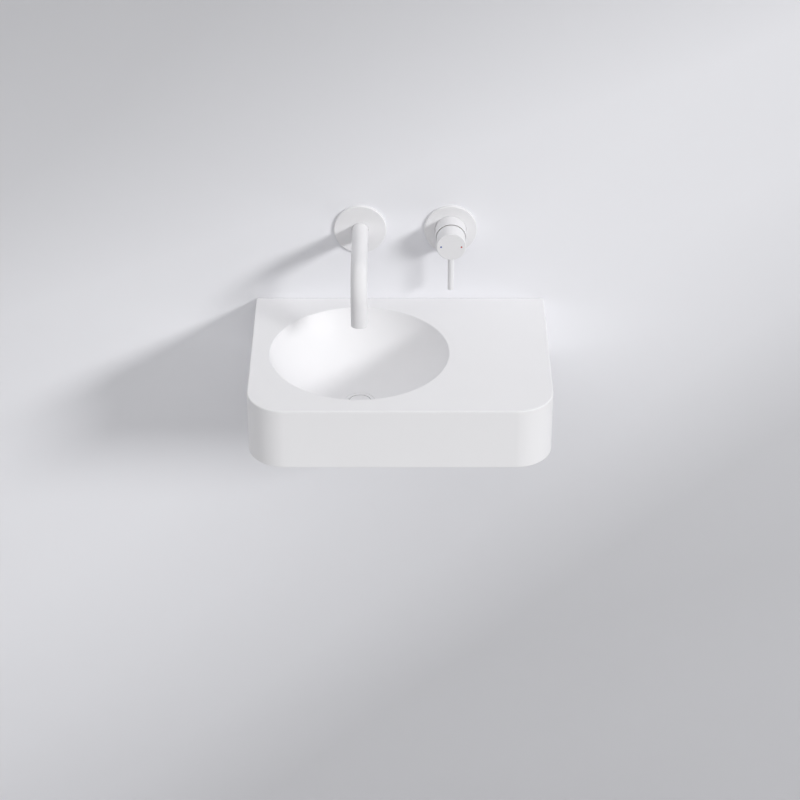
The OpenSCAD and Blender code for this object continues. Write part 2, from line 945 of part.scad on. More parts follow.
module spout_nipple() {
    thread_start = nipple_face - hex_t - nipple_thread_len;
    color(brass_yellow)
        out_of_wall(bowl_x, tap_z)
            difference() {
                union() {
                    rod(thread_bore - 2 * screw_gap, thread_start, nipple_face - hex_t);
                    hex_bar(hex_af, nipple_face - hex_t, nipple_face);
                    rod(spigot_d, nipple_face, nipple_face + spigot_len);
                }
                rod(nipple_bore, thread_start - cut, nipple_face + spigot_len + cut);
                for (z = nipple_ring_z)
                    ring(spigot_d + cut, spout_bore - 2 * (oring_t + slip), z - groove_half, z + groove_half);
                rotate([90, 0, 0])
                    translate([0, screw_out, 0])
                        cylinder(d = screw_d + 2 * screw_gap, h = spout_d);
            }
}

module nipple_orings() {
    color(rubber_black)
        out_of_wall(bowl_x, tap_z)
            for (z = nipple_ring_z)
                round_ring(spout_bore - oring_t - 2 * oring_ease, oring_t, z);
}

module spout_screw() {
    key_af = 2.5;
    color(steel_grey)
        translate([bowl_x, -screw_out, tap_z - spout_d / 2 + slip])
            difference() {
                rod(screw_d, 0, (spout_d - nipple_bore) / 2 - 1);
                hex_bar(key_af, -cut, key_af);
            }
}

module aerator_housing() {
    housing_d_out = spout_bore - 2 * screw_gap;
    z0 = nose_z + aerator_inset;
    color(matt_white)
        translate([bowl_x, -spout_reach, 0])
            difference() {
                rod(housing_d_out, z0, z0 + aerator_h);
                rod(housing_d_out - 3, z0 - cut, z0 + aerator_h + cut);
                for (a = [0, 90])
                    rotate(a)
                        translate([-spout_d / 2, -1, z0 - cut])
                            cube([spout_d, 2, cut + 1]);
            }
}

module aerator_insert() {
    insert_d = spout_bore - 2 * screw_gap - 3 - 2 * screw_gap;
    z0 = nose_z + aerator_inset + 1;
    color(plastic_grey)
        translate([bowl_x, -spout_reach, 0])
            difference() {
                rod(insert_d, z0, z0 + aerator_h - 2);
                for (i = [-2 : 2], j = [-2 : 2])
                    if (norm([i, j]) * grid_pitch < insert_d / 2 - grid_hole)
                        translate([i * grid_pitch, j * grid_pitch, z0 + aerator_h / 2])
                            cube([grid_hole, grid_hole, 2 * aerator_h], center = true);
            }
}

module spout_elbow() {
    front = nipple_face - hex_t;
    elbow_d = 27;
    arm_d = 23;
    color(brass_yellow)
        out_of_wall(bowl_x, tap_z)
            difference() {
                union() {
                    rod(elbow_d, -link_depth - arm_d / 2, front);
                    translate([0, 0, -link_depth])
                        rotate([0, 90, 0])
                            cylinder(d = arm_d, h = arm_len);
                }
                rod(thread_bore, front - nipple_thread_len - slip, front + cut);
                rod(nipple_bore, -link_depth, front);
                translate([0, 0, -link_depth])
                    rotate([0, 90, 0]) {
                        cylinder(d = nipple_bore, h = arm_len);
                        translate([0, 0, arm_len - arm_socket])
                            cylinder(d = link_d + 2 * screw_gap, h = arm_socket + cut);
                    }
            }
}

// The pipe from the elbow's arm to the mixer body's side
module link_pipe() {
    color(copper_red)
        translate([link_x0, link_depth, tap_z])
            rotate([0, 90, 0])
                ring(link_d, link_d - 2 * link_wall, 0, link_x1 - link_x0);
}

module mixer_body() {
    inlet_d = 27;
    inlet_drop = 46;
    inlet_top = link_d / 2 + 1;
    passage_d = 7;
    ear_reach = body_d / 2 + 9;
    ear_d = 14;
    ear_t = 5;
    ear_back = -20;
    ear_hole = 5.5;
    color(brass_yellow)
        out_of_wall(mixer_x, tap_z)
            difference() {
                union() {
                    rod(body_d, body_back, body_front);
                    rod(neck_thread_d, body_front - cut, neck_end);
                    for (side = [-1, 1])
                        translate([side * inlet_spacing / 2, -inlet_top, -inlet_depth])
                            rotate([90, 0, 0])
                                cylinder(d = inlet_d, h = inlet_drop - inlet_top);
                    for (side = [-1, 1])
                        rotate(side * ear_turn) {
                            translate([-ear_d / 2, 0, ear_back])
                                cube([ear_d, ear_reach, ear_t]);
                            translate([0, ear_reach, 0])
                                rod(ear_d, ear_back, ear_back + ear_t);
                        }
                }
                for (side = [-1, 1])
                    rotate(side * ear_turn)
                        translate([0, ear_reach, 0])
                            rod(ear_hole, ear_back - cut, ear_back + ear_t + cut);
                rod(nut_bore_d, fixed_z, neck_end + cut);
                rod(housing_flange_d + 2 * slip, pocket_out, fixed_z + cut);
                for (side = [-1, 1]) {
                    translate([side * inlet_spacing / 2, 0, -inlet_depth])
                        rotate([90, 0, 0]) {
                            cylinder(d = passage_d, h = inlet_drop);
                            translate([0, 0, inlet_drop - thread_len])
                                cylinder(d = thread_bore, h = thread_len + cut);
                        }
                    translate([side * port_x, port_y, 0])
                        rod(port_d, -inlet_depth, pocket_out + cut);
                    translate([side * port_x, port_y, -inlet_depth])
                        rotate([0, side * 90, 0])
                            cylinder(d = port_d, h = inlet_spacing / 2);
                }
                translate([0, outlet_y, 0])
                    rod(port_d, -link_depth, pocket_out + cut);
                translate([0, outlet_y, -link_depth])
                    rotate([0, -90, 0])
                        cylinder(d = port_d, h = body_d / 2);
                translate([0, 0, -link_depth])
                    rotate([0, -90, 0])
                        translate([0, 0, body_d / 2 - link_socket - slip])
                            cylinder(d = link_d + 2 * screw_gap, h = link_socket + 2 * cut);
            }
}

module mixer_plate() wall_plate(mixer_x, mixer_plate_bore);

module mixer_plate_seal() plate_seal(mixer_x, mixer_plate_bore);

module sleeve_oring() {
    color(rubber_black)
        out_of_wall(mixer_x, tap_z)
            plate_oring(sleeve_d);
}

module mixer_sleeve() {
    back = body_front + 1;
    color(matt_white)
        out_of_wall(mixer_x, tap_z)
            difference() {
                rod(sleeve_d, back, sleeve_len);
                rod(neck_thread_d + 2 * screw_gap, back - cut, sleeve_grip);
                rod(sleeve_bore, sleeve_grip, sleeve_len + cut);
            }
}

// The three ports of the cartridge: hot, cold and mixed
module at_ports() {
    for (place = [[-port_x, port_y], [port_x, port_y], [0, outlet_y]])
        translate(place)
            children();
}

module cartridge_base() {
    color(plastic_white)
        out_of_wall(mixer_x, tap_z)
            difference() {
                rod(housing_flange_d, base_z, fixed_z);
                at_ports() {
                    rod(port_bore, base_z - cut, fixed_z + cut);
                    rod(port_d + 1.2, base_z - cut, base_z + 1.1);
                }
            }
}

module cartridge_seals() {
    color(rubber_black)
        out_of_wall(mixer_x, tap_z)
            at_ports()
                round_ring(port_d - 0.3, 1.4, pocket_out + 0.72);
}

module cartridge_housing() {
    color(plastic_grey)
        out_of_wall(mixer_x, tap_z)
            difference() {
                union() {
                    rod(housing_flange_d, fixed_z, fixed_z + housing_flange_t);
                    rod(housing_d, fixed_z, housing_end);
                }
                rod(housing_bore, fixed_z - cut, turret_end + lip_gap);
                rod(housing_bore - 4, turret_end, housing_end + cut);
            }
}

module retaining_nut() {
    z0 = fixed_z + housing_flange_t;
    color(brass_yellow)
        out_of_wall(mixer_x, tap_z)
            difference() {
                rod(nut_bore_d - 2 * screw_gap, z0, z0 + retaining_t);
                rod(housing_d + 2 * slip, z0 - cut, z0 + retaining_t + cut);
                for (a = [0 : 60 : 120])
                    rotate(a)
                        translate([-nut_bore_d, -1.5, z0 + retaining_t - 2])
                            cube([2 * nut_bore_d, 3, 2 + cut]);
            }
}

module fixed_disc() {
    color(ceramic_white)
        out_of_wall(mixer_x, tap_z)
            difference() {
                rod(housing_bore - 2 * slip, fixed_z, fixed_z + disc_t);
                at_ports()
                    rod(port_bore, fixed_z - cut, fixed_z + disc_t + cut);
            }
}

module moving_disc() {
    color(ceramic_white)
        out_of_wall(mixer_x, tap_z)
            translate([0, disc_shift, 0])
                difference() {
                    rod(moving_disc_d, moving_z, moving_z + disc_t);
                    translate([0, mixing_rise, 0])
                        rod(mixing_d, moving_z - cut, moving_z + disc_t / 2);
                }
}

module disc_driver() {
    color(plastic_grey)
        out_of_wall(mixer_x, tap_z)
            difference() {
                translate([0, disc_shift, 0])
                    rod(moving_disc_d, driver_z, driver_z + driver_t);
                rod(ball_d + 2 * slip, driver_z + driver_floor, driver_z + driver_t + cut);
            }
}

module turret() {
    slot_w = spindle_w + 2 * slip;
    slot_below = 9;
    slot_above = 5.5;
    color(plastic_white)
        out_of_wall(mixer_x, tap_z)
            difference() {
                rod(housing_bore - 2 * run_gap, turret_z, turret_end);
                translate([-slot_w / 2, -slot_below, turret_z - cut])
                    cube([slot_w, slot_below + slot_above, turret_end - turret_z + 2 * cut]);
                translate([0, 0, pivot_out])
                    rotate([0, 90, 0])
                        cylinder(d = pivot_d, h = housing_bore, center = true);
            }
}

module pivot_pin() {
    color(steel_grey)
        out_of_wall(mixer_x, tap_z)
            translate([0, 0, pivot_out])
                rotate([0, 90, 0])
                    cylinder(d = pivot_d, h = housing_bore - 1.2, center = true);
}

module spindle() {
    bar_back = pivot_out - 6;
    spindle_end = cap_end - cap_front_t - slip;
    color(brass_yellow)
        out_of_wall(mixer_x, tap_z)
            difference() {
                union() {
                    translate([-spindle_w / 2, -spindle_t / 2, bar_back])
                        cube([spindle_w, spindle_t, spindle_end - bar_back]);
                    rod(spindle_rod_d, ball_z, bar_back + cut);
                    translate([0, 0, ball_z])
                        sphere(d = ball_d, $fn = fine_fn);
                }
                translate([0, 0, pivot_out])
                    rotate([0, 90, 0])
                        cylinder(d = pivot_d + 2 * run_gap, h = 2 * spindle_w, center = true);
            }
}

module handle_cap() {
    color(matt_white)
        out_of_wall(mixer_x, tap_z)
            difference() {
                union() {
                    difference() {
                        soft_disc(cap_d, cap_back, cap_end, cap_edge);
                        rod(cap_bore, cap_back - cut, cap_end - cap_front_t);
                    }
                    rod(boss_d, cap_end - cap_front_t - boss_len, cap_end - cap_front_t / 2);
                }
                translate([0, 0, cap_end - cap_front_t - boss_len / 2 - cut / 2])
                    cube([spindle_w + slip, spindle_t + slip, boss_len + cut], center = true);
                translate([0, 0, lever_out])
                    rotate([90, 0, 0]) {
                        cylinder(d = stud_d + 2 * screw_gap, h = cap_d);
                        translate([0, 0, cap_d / 2 - spot_depth])
                            cylinder(d = lever_d + 2 * screw_gap, h = cap_d);
                    }
                for (side = [-1, 1])
                    translate([side * dot_offset, 0, cap_end - 0.6])
                        cylinder(d = dot_d + 2 * screw_gap, h = 1, $fn = fine_fn);
            }
}

module lever_pin() {
    end_r = 0.5;
    color(matt_white)
        out_of_wall(mixer_x, tap_z)
            translate([0, 0, lever_out])
                rotate([90, 0, 0]) {
                    soft_disc(lever_d, cap_d / 2 - spot_depth, lever_len, end_r);
                    rod(stud_d, spindle_t / 2 + slip, cap_d / 2 - spot_depth + cut);
                }
}

// A flat enamel dot on the front of the cap
module mark(side) {
    out_of_wall(mixer_x, tap_z)
        translate([side * dot_offset, 0, cap_end - 0.6])
            cylinder(d = dot_d, h = 0.6, $fn = fine_fn);
}

module hot_mark() color(hot_red) mark(1);

module cold_mark() color(cold_blue) mark(-1);

basin();
wall_bolts();
bolt_bushes();
bolt_washers();
bolt_nuts();
waste_body();
flange_seal();
waste_strainer();
waste_seal();
waste_nut();
elbow_nut();
elbow_seal();
waste_elbow();
pipe_nuts();
pipe_seals();
trap_body();
cup_seal();
trap_cup();
wall_pipe();
wall_rosette();
spout_plate();
spout_plate_seal();
spout_plate_oring();
spout_tube();
spout_nipple();
nipple_orings();
spout_screw();
aerator_housing();
aerator_insert();
spout_elbow();
link_pipe();
mixer_body();
mixer_plate();
mixer_plate_seal();
sleeve_oring();
mixer_sleeve();
cartridge_base();
cartridge_seals();
cartridge_housing();
retaining_nut();
fixed_disc();
moving_disc();
disc_driver();
turret();
pivot_pin();
spindle();
handle_cap();
lever_pin();
hot_mark();
cold_mark();
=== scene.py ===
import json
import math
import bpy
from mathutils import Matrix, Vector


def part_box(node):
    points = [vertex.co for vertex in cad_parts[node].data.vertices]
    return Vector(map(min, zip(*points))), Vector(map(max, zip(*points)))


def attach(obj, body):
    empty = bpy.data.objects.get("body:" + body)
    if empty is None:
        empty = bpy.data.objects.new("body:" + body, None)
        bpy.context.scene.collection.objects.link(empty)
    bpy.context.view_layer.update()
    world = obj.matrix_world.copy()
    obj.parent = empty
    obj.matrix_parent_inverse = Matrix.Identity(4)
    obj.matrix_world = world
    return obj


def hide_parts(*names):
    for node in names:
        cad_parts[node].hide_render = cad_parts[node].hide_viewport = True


bl_info = {
    "name": "Wall-Hung Washbasin",
    "version": (1, 0, 0),
    "blender": (4, 5, 0),
    "location": "View3D > Sidebar > Washbasin",
    "description": "Models and finishes a wall-hung washbasin with its taps, waste and trap",
    "category": "Add Mesh",
}

import bmesh
import bpy
from bpy.props import FloatProperty, FloatVectorProperty, IntProperty, PointerProperty
from bpy.types import Operator, Panel, PropertyGroup
from mathutils import Matrix, Vector

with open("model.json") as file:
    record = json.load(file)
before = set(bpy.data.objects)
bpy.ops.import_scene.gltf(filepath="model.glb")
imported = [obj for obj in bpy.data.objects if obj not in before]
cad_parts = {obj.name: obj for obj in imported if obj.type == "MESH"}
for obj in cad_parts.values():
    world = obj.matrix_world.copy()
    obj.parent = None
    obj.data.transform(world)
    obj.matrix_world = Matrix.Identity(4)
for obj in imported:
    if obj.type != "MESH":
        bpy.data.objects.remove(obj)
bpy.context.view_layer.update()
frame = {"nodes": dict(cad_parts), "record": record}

MM = 0.001
DECK_THICKNESS = 12.0 * MM
SIDEBAR = "Washbasin"

# How near to a plane, in metres, a corner counts as lying in it
FLATNESS = 1e-6

# Which of a corner's three coordinates is which
Y_AXIS = 1
Z_AXIS = 2

# Boxes of the solids that the pieces are placed by, in metres
basin_lo, basin_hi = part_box("basin")
waste_lo, waste_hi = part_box("waste_body")
spout_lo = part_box("spout_tube")[0]
plate_lo, plate_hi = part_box("spout_plate")
mixer_plate_lo, mixer_plate_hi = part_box("mixer_plate")

# Axes of the pieces, in metres
bowl_x = (waste_lo.x + waste_hi.x) / 2
bowl_y = (waste_lo.y + waste_hi.y) / 2
mixer_x = (mixer_plate_lo.x + mixer_plate_hi.x) / 2
tap_z = (plate_lo.z + plate_hi.z) / 2
bolt_x = 140.0 * MM
trap_y = -62.0 * MM
drain_z = -95.0 * MM
lever_y = -46.5 * MM
mark_x = 13.8 * MM


class WashbasinSizes(PropertyGroup):
    """Sizes that the scene adds to the solids."""

    corner_radius: FloatProperty(
        name="Corner radius", description="Radius of the two upright front corners",
        default=0.050, unit="LENGTH",
    )
    edge_radius: FloatProperty(
        name="Edge radius", description="Radius along the outer edges of the basin",
        default=0.0018, unit="LENGTH",
    )
    apron: FloatProperty(
        name="Apron", description="Thickness of the front and side aprons",
        default=0.012, unit="LENGTH",
    )
    bowl_radius: FloatProperty(
        name="Bowl radius", description="Radius of the bowl at the deck",
        default=0.120, unit="LENGTH",
    )
    rim_radius: FloatProperty(
        name="Rim radius", description="Radius of the rim between the bowl and the deck",
        default=0.002, unit="LENGTH",
    )
    steps: IntProperty(
        name="Steps", description="Number of faces round a turned piece",
        default=128, min=24, max=256,
    )


class WashbasinColours(PropertyGroup):
    """Colours of the visible finishes."""

    cast_white: FloatVectorProperty(
        name="Cast white", description="Colour of the cast basin",
        subtype="COLOR", size=3, default=(0.864, 0.860, 0.874),
    )
    coat_white: FloatVectorProperty(
        name="Coat white", description="Colour of the matt coating on the taps",
        subtype="COLOR", size=3, default=(0.850, 0.846, 0.860),
    )
    plastic_white: FloatVectorProperty(
        name="Plastic white", description="Colour of the trap and its nuts",
        subtype="COLOR", size=3, default=(0.82, 0.82, 0.80),
    )


class WashbasinStage(PropertyGroup):
    """Camera and light."""

    camera_distance: FloatProperty(
        name="Camera distance", description="Distance of the camera from the wall",
        default=2.83879, unit="LENGTH",
    )
    camera_rise: FloatProperty(
        name="Camera rise", description="Height of the camera above the top of the basin",
        default=1.6165, unit="LENGTH",
    )
    camera_pitch: FloatProperty(
        name="Camera pitch", description="Angle of the camera below the horizon",
        default=math.radians(32.15), subtype="ANGLE",
    )
    camera_lens: FloatProperty(
        name="Camera lens", description="Focal length on a 36 mm sensor, in millimetres",
        default=105.415,
    )
    key_power: FloatProperty(
        name="Key light", description="Power of the large light at the front right",
        default=1690.0, unit="POWER",
    )
    key_size: FloatProperty(
        name="Key size", description="Length of the key light, which is less than half as wide",
        default=6.4, unit="LENGTH",
    )
    world_strength: FloatProperty(
        name="World light", description="Strength of the soft light from overhead",
        default=1.42,
    )


class Value:
    """A socket of a shader that Python's operators work on."""

    def __init__(self, shader, socket):
        self.shader = shader
        self.socket = socket

    def maths(self, operation, first, second):
        return self.shader.add("ShaderNodeMath", {"operation": operation}, {0: first, 1: second})

    def __add__(self, other):
        return self.maths("ADD", self, other)

    def __radd__(self, other):
        return self.maths("ADD", other, self)

    def __sub__(self, other):
        return self.maths("SUBTRACT", self, other)

    def __rsub__(self, other):
        return self.maths("SUBTRACT", other, self)

    def __mul__(self, other):
        return self.maths("MULTIPLY", self, other)

    def __rmul__(self, other):
        return self.maths("MULTIPLY", other, self)

    def at_least(self, other):
        return self.maths("MAXIMUM", self, other)


class Shader:
    """The nodes of a material or a world, with one method that adds any of them."""

    def __init__(self, owner, output="ShaderNodeOutputMaterial"):
        owner.use_nodes = True
        self.owner = owner
        self.tree = owner.node_tree
        self.tree.nodes.clear()
        self.output = self.tree.nodes.new(output)

    def add(self, kind, settings=None, sockets=None, out=0):
        """Adds a node: its settings are set first, then its sockets get values or links."""
        node = self.tree.nodes.new(kind)
        for name, setting in (settings or {}).items():
            if name == "stops":
                self.set_stops(node.color_ramp, setting)
            else:
                setattr(node, name, setting)
        for key, value in (sockets or {}).items():
            if isinstance(value, Value):
                self.tree.links.new(value.socket, node.inputs[key])
            else:
                node.inputs[key].default_value = value
        return Value(self, node.outputs[out])

    def vector_maths(self, operation, first, second):
        return self.add("ShaderNodeVectorMath", {"operation": operation}, {0: first, 1: second})

    def set_stops(self, ramp, stops):
        while len(ramp.elements) < len(stops):
            ramp.elements.new(1.0)
        for element, (position, colour) in zip(ramp.elements, stops):
            element.position = position
            element.color = colour

    def coordinates(self):
        return self.add("ShaderNodeTexCoord", out="Object")

    def outputs(self, kind, *names, sockets=None):
        """Adds a node and gives several of its outputs."""
        node = self.add(kind, sockets=sockets).socket.node
        return [Value(self, node.outputs[name]) for name in names]

    def noise(self, scale, detail=2.0, roughness=0.5, vector=None):
        """A noise of that many waves a metre, from 0 to 1."""
        sockets = {"Scale": scale, "Detail": detail, "Roughness": roughness}
        sockets["Vector"] = vector or self.coordinates()
        return self.add("ShaderNodeTexNoise", {"noise_dimensions": "3D"}, sockets, out="Fac")

    def blend(self, share, first, second):
        """Mixes two colours by a share."""
        sockets = {"Factor": share, 6: first, 7: second}
        return self.add("ShaderNodeMix", {"data_type": "RGBA"}, sockets, out=2)

    def bump(self, height, distance, strength=1.0):
        sockets = {"Height": height, "Distance": distance, "Strength": strength}
        return self.add("ShaderNodeBump", sockets=sockets)

    def surface(self, **sockets):
        """Adds the main shader: names are its socket names, with spaces as underscores."""
        names = {name.replace("_", " "): value for name, value in sockets.items()}
        return self.close(self.add("ShaderNodeBsdfPrincipled", sockets=names))

    def close(self, shader):
        """Links the last shader to the output, and gives the finished material or world."""
        self.tree.links.new(shader.socket, self.output.inputs["Surface"])
        return self.owner


def new_finish(name):
    """The nodes of a new finish, which takes over its name from the solids' plain one."""
    plain = bpy.data.materials.get(name)
    if plain:
        plain.name = name + "_plain"
    return Shader(bpy.data.materials.new(name))


def rgba(colour, share=1.0):
    """A colour with alpha, darkened or lightened by a share."""
    return (*(min(1.0, part * share) for part in colour[:3]), 1.0)


# Which body a node rides on, and which finish it has
record = frame["record"]
body_of = {node: body for body, nodes in record["behaviour"]["bodies"].items() for node in nodes}
slot_of = {part["node"]: part["material_slot"] for part in record["subparts"]}


def upright(x, y):
    """Places a turned piece on an upright axis: its heights are heights in the frame."""
    return Matrix.Translation((x, y, 0.0))


def out_of_wall(x, z):
    """Places a turned piece on an axis out of the wall: its heights are distances from the wall."""
    return Matrix.Translation((x, 0.0, z)) @ Matrix.Rotation(math.radians(90), 4, "X")


def all_of(mesh):
    return mesh.verts[:] + mesh.edges[:] + mesh.faces[:]


def edges_in(geom):
    return [item for item in geom if isinstance(item, bmesh.types.BMEdge)]


def corners_in(geom):
    return [item for item in geom if isinstance(item, bmesh.types.BMVert)]


def extrude(mesh, edges):
    """Extrudes open edges, and gives the new edges and their corners."""
    made = bmesh.ops.extrude_edge_only(mesh, edges=edges)["geom"]
    return edges_in(made), corners_in(made)


def lift(mesh, height):
    """Extrudes a flat face upwards into a block."""
    grown = bmesh.ops.extrude_face_region(mesh, geom=mesh.faces[:], use_keep_orig=True)
    bmesh.ops.translate(mesh, vec=(0.0, 0.0, height), verts=corners_in(grown["geom"]))


def add_ring(mesh, radius, steps, place):
    """Adds a circle of edges."""
    made = bmesh.ops.create_circle(mesh, segments=steps, radius=radius, matrix=place)
    return list(dict.fromkeys(edge for vert in made["verts"] for edge in vert.link_edges))


def spin(mesh, geom, centre, axis, angle, steps, rise=0.0, merge=False):
    """Spins corners, edges or faces round an axis, and gives those at the end."""
    made = bmesh.ops.spin(
        mesh, geom=geom, cent=centre, axis=axis, dvec=(0.0, 0.0, rise), angle=angle, steps=steps,
        use_merge=merge, use_normal_flip=False, use_duplicate=False,
    )
    return made["geom_last"]


def add_object(name, data):
    """Makes an object and puts it in the scene."""
    thing = bpy.data.objects.new(name, data)
    bpy.context.scene.collection.objects.link(thing)
    return thing


def add_mesh_object(name, mesh):
    """Makes an object of a mesh and frees the mesh."""
    data = bpy.data.meshes.new(name)
    mesh.to_mesh(data)
    mesh.free()
    return add_object(name, data)


def bevel(mesh, geom, offset, segments=4, affect="EDGES"):
    """Rounds edges or corners by a distance in metres."""
    bmesh.ops.bevel(
        mesh, geom=geom, offset=offset, offset_type="OFFSET", segments=segments, profile=0.5,
        affect=affect, material=-1, clamp_overlap=False,
    )


def add_wire(mesh, outline, rounds=None, closed=True, segments=4):
    """Adds a profile of radii and heights in millimetres, and rounds the corners that are named."""
    points = [mesh.verts.new((radius * MM, 0.0, height * MM)) for radius, height in outline]
    followers = points[1:] + points[:1] if closed else points[1:]
    for first, second in zip(points, followers):
        mesh.edges.new((first, second))
    reaches = {}
    for index, reach in (rounds or {}).items():
        reaches.setdefault(reach, []).append(points[index])
    for reach, corners in reaches.items():
        bevel(mesh, corners, reach * MM, segments, "VERTICES")


def spin_round(mesh, steps):
    """Turns everything in the mesh round the upright axis and closes it."""
    geom = mesh.verts[:] + mesh.edges[:]
    spin(mesh, geom, (0.0, 0.0, 0.0), (0.0, 0.0, 1.0), math.tau, steps, merge=True)
    bmesh.ops.remove_doubles(mesh, verts=mesh.verts[:], dist=FLATNESS)


def turned(outline, rounds=None, closed=True, steps=0, segments=4):
    """A turned shape. A closed profile makes a ring, an open one begins and ends on the axis."""
    mesh = bmesh.new()
    add_wire(mesh, outline, rounds, closed, segments)
    spin_round(mesh, steps or bpy.context.scene.washbasin_sizes.steps)
    return mesh


def collar(inner, outer, low, high, rounds, steps):
    """A turned ring with a rectangular section."""
    outline = [(inner, low), (outer, low), (outer, high), (inner, high)]
    return turned(outline, rounds, True, steps)


def rod(radius, low, high, reach=0.0, steps=48):
    """A turned rod between two heights, with both ends rounded."""
    rounds = {1: reach, 2: reach} if reach else None
    return turned([(0, low), (radius, low), (radius, high), (0, high)], rounds, False, steps, 3)


def thread(root, crest, pitch, low, high, steps=40):
    """The ridge of a screw thread between two heights, with its foot sunk in the core."""
    mesh = bmesh.new()
    sunk = 0.25
    points = (
        (root - sunk, 0.0), (root, 0.06), (crest, 0.42), (crest, 0.56), (root, 0.92),
        (root - sunk, 0.96),
    )
    corners = [
        mesh.verts.new((radius * MM, 0.0, (low + share * pitch) * MM)) for radius, share in points
    ]
    mesh.faces.new(corners)
    turns = (high - low - pitch) / pitch
    count = max(4, round(turns * steps))
    rise = turns * pitch / count * MM
    spin(mesh, all_of(mesh), (0.0, 0.0, 0.0), (0.0, 0.0, 1.0), math.tau * turns, count, rise)
    return mesh


def box(low, high, reach=0.0):
    """A block between two corners in millimetres, with rounded edges."""
    mesh = bmesh.new()
    size = [(b - a) * MM for a, b in zip(low, high)]
    middle = [(a + b) / 2 * MM for a, b in zip(low, high)]
    bmesh.ops.create_cube(mesh, size=1.0)
    bmesh.ops.scale(mesh, vec=size, verts=mesh.verts[:])
    bmesh.ops.translate(mesh, vec=middle, verts=mesh.verts[:])
    if reach:
        bevel(mesh, mesh.edges[:], reach * MM, 3)
    return mesh


def hexagon(across, low, high):
    """A six-sided bar with chamfered ends, from its width across the flats."""
    mesh = bmesh.new()
    corner = across / 2 / math.cos(math.radians(30))
    bmesh.ops.create_circle(mesh, cap_ends=True, segments=6, radius=corner * MM)
    bmesh.ops.translate(mesh, vec=(0.0, 0.0, low * MM), verts=mesh.verts[:])
    lift(mesh, (high - low) * MM)
    slope = corner - across / 2
    shape = turned(
        [
            (0, low), (across / 2, low), (corner, low + slope / 2), (corner, high - slope / 2),
            (across / 2, high), (0, high),
        ],
        None, False, 72,
    )
    return carve(mesh, shape, "INTERSECT")


def join(target, *sources):
    """Adds meshes to the first one."""
    for source in sources:
        carrier = bpy.data.meshes.new("carrier")
        source.to_mesh(carrier)
        source.free()
        target.from_mesh(carrier)
        bpy.data.meshes.remove(carrier)
    return target


def moved(mesh, place):
    """The same mesh in another place."""
    bmesh.ops.transform(mesh, matrix=place, verts=mesh.verts[:])
    return mesh


def carve(mesh, cutter, operation="DIFFERENCE"):
    """Cuts one closed mesh out of another, or keeps what they share."""
    parts = []
    for half in (mesh, cutter):
        bmesh.ops.recalc_face_normals(half, faces=half.faces[:])
        parts.append(add_mesh_object("carving", half))
    cut = parts[0].modifiers.new("Cut", "BOOLEAN")
    cut.operation = operation
    cut.solver = "EXACT"
    cut.object = parts[1]
    result = bmesh.new()
    result.from_object(parts[0], bpy.context.evaluated_depsgraph_get())
    for part in parts:
        data = part.data
        bpy.data.objects.remove(part)
        bpy.data.meshes.remove(data)
    bmesh.ops.remove_doubles(result, verts=result.verts[:], dist=1e-7)
    return result


def sweep(mesh, radius, start, heading, moves, steps=64):
    """Drives a ring along a path in millimetres.

    The moves are ("on", length), ("to", radius) and ("turn", radius, angle, axis).
    """
    centre = Vector(start) * MM
    heading = Vector(heading).normalized()
    place = Matrix.Translation(centre) @ heading.to_track_quat("Z", "Y").to_matrix().to_4x4()
    ring = add_ring(mesh, radius * MM, steps, place)
    bend_steps = 24
    for move in moves:
        if move[0] == "turn":
            axis = Vector(move[3])
            side = axis.cross(heading).normalized()
            hub = centre + side * move[1] * MM
            ring = edges_in(spin(mesh, ring, hub, axis, math.radians(move[2]), bend_steps))
            turn = Matrix.Rotation(math.radians(move[2]), 3, axis)
            centre = hub + turn @ (centre - hub)
            heading = turn @ heading
            continue
        ring, points = extrude(mesh, ring)
        if move[0] == "on":
            bmesh.ops.translate(mesh, vec=heading * move[1] * MM, verts=points)
            centre = centre + heading * move[1] * MM
        if move[0] == "to":
            share = move[1] * MM / (points[0].co - centre).length
            bmesh.ops.scale(
                mesh, vec=(share, share, share), space=Matrix.Translation(-centre), verts=points
            )


def pipe(radius, start, heading, moves, steps=64):
    """A pipe whose moves go out along its outer wall and come back along its inner wall."""
    mesh = bmesh.new()
    sweep(mesh, radius, start, heading, moves, steps)
    bmesh.ops.remove_doubles(mesh, verts=mesh.verts[:], dist=2 * FLATNESS)
    return mesh


def make_piece(name, mesh, place, *nodes, soften=0.0, crease=32.0):
    """Makes a piece from a mesh. It stands for solids, rides on their body and has their finish."""
    bmesh.ops.transform(mesh, matrix=place, verts=mesh.verts[:])
    bmesh.ops.recalc_face_normals(mesh, faces=mesh.faces[:])
    for face in mesh.faces:
        face.smooth = True
    for edge in mesh.edges:
        edge.smooth = edge.calc_face_angle(0.0) < math.radians(crease)
    piece = add_mesh_object(name, mesh)
    if soften:
        edges = piece.modifiers.new("Soft edges", "BEVEL")
        edges.width = soften * MM
        edges.segments = 2
        edges.limit_method = "ANGLE"
        edges.angle_limit = math.radians(crease)
    shading = piece.modifiers.new("Even shading", "WEIGHTED_NORMAL")
    shading.keep_sharp = True
    slot = slot_of[nodes[0]]
    piece.data.materials.append(bpy.data.materials[slot])
    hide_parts(*nodes)
    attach(piece, body_of[nodes[0]])


def clouded(name, scale, detail, dark, light):
    """Begins a finish whose colour drifts between two shades: its nodes, its colour, its clouds."""
    shader = new_finish(name)
    clouds = shader.noise(scale, detail)
    return shader, shader.blend(clouds, dark, light), clouds


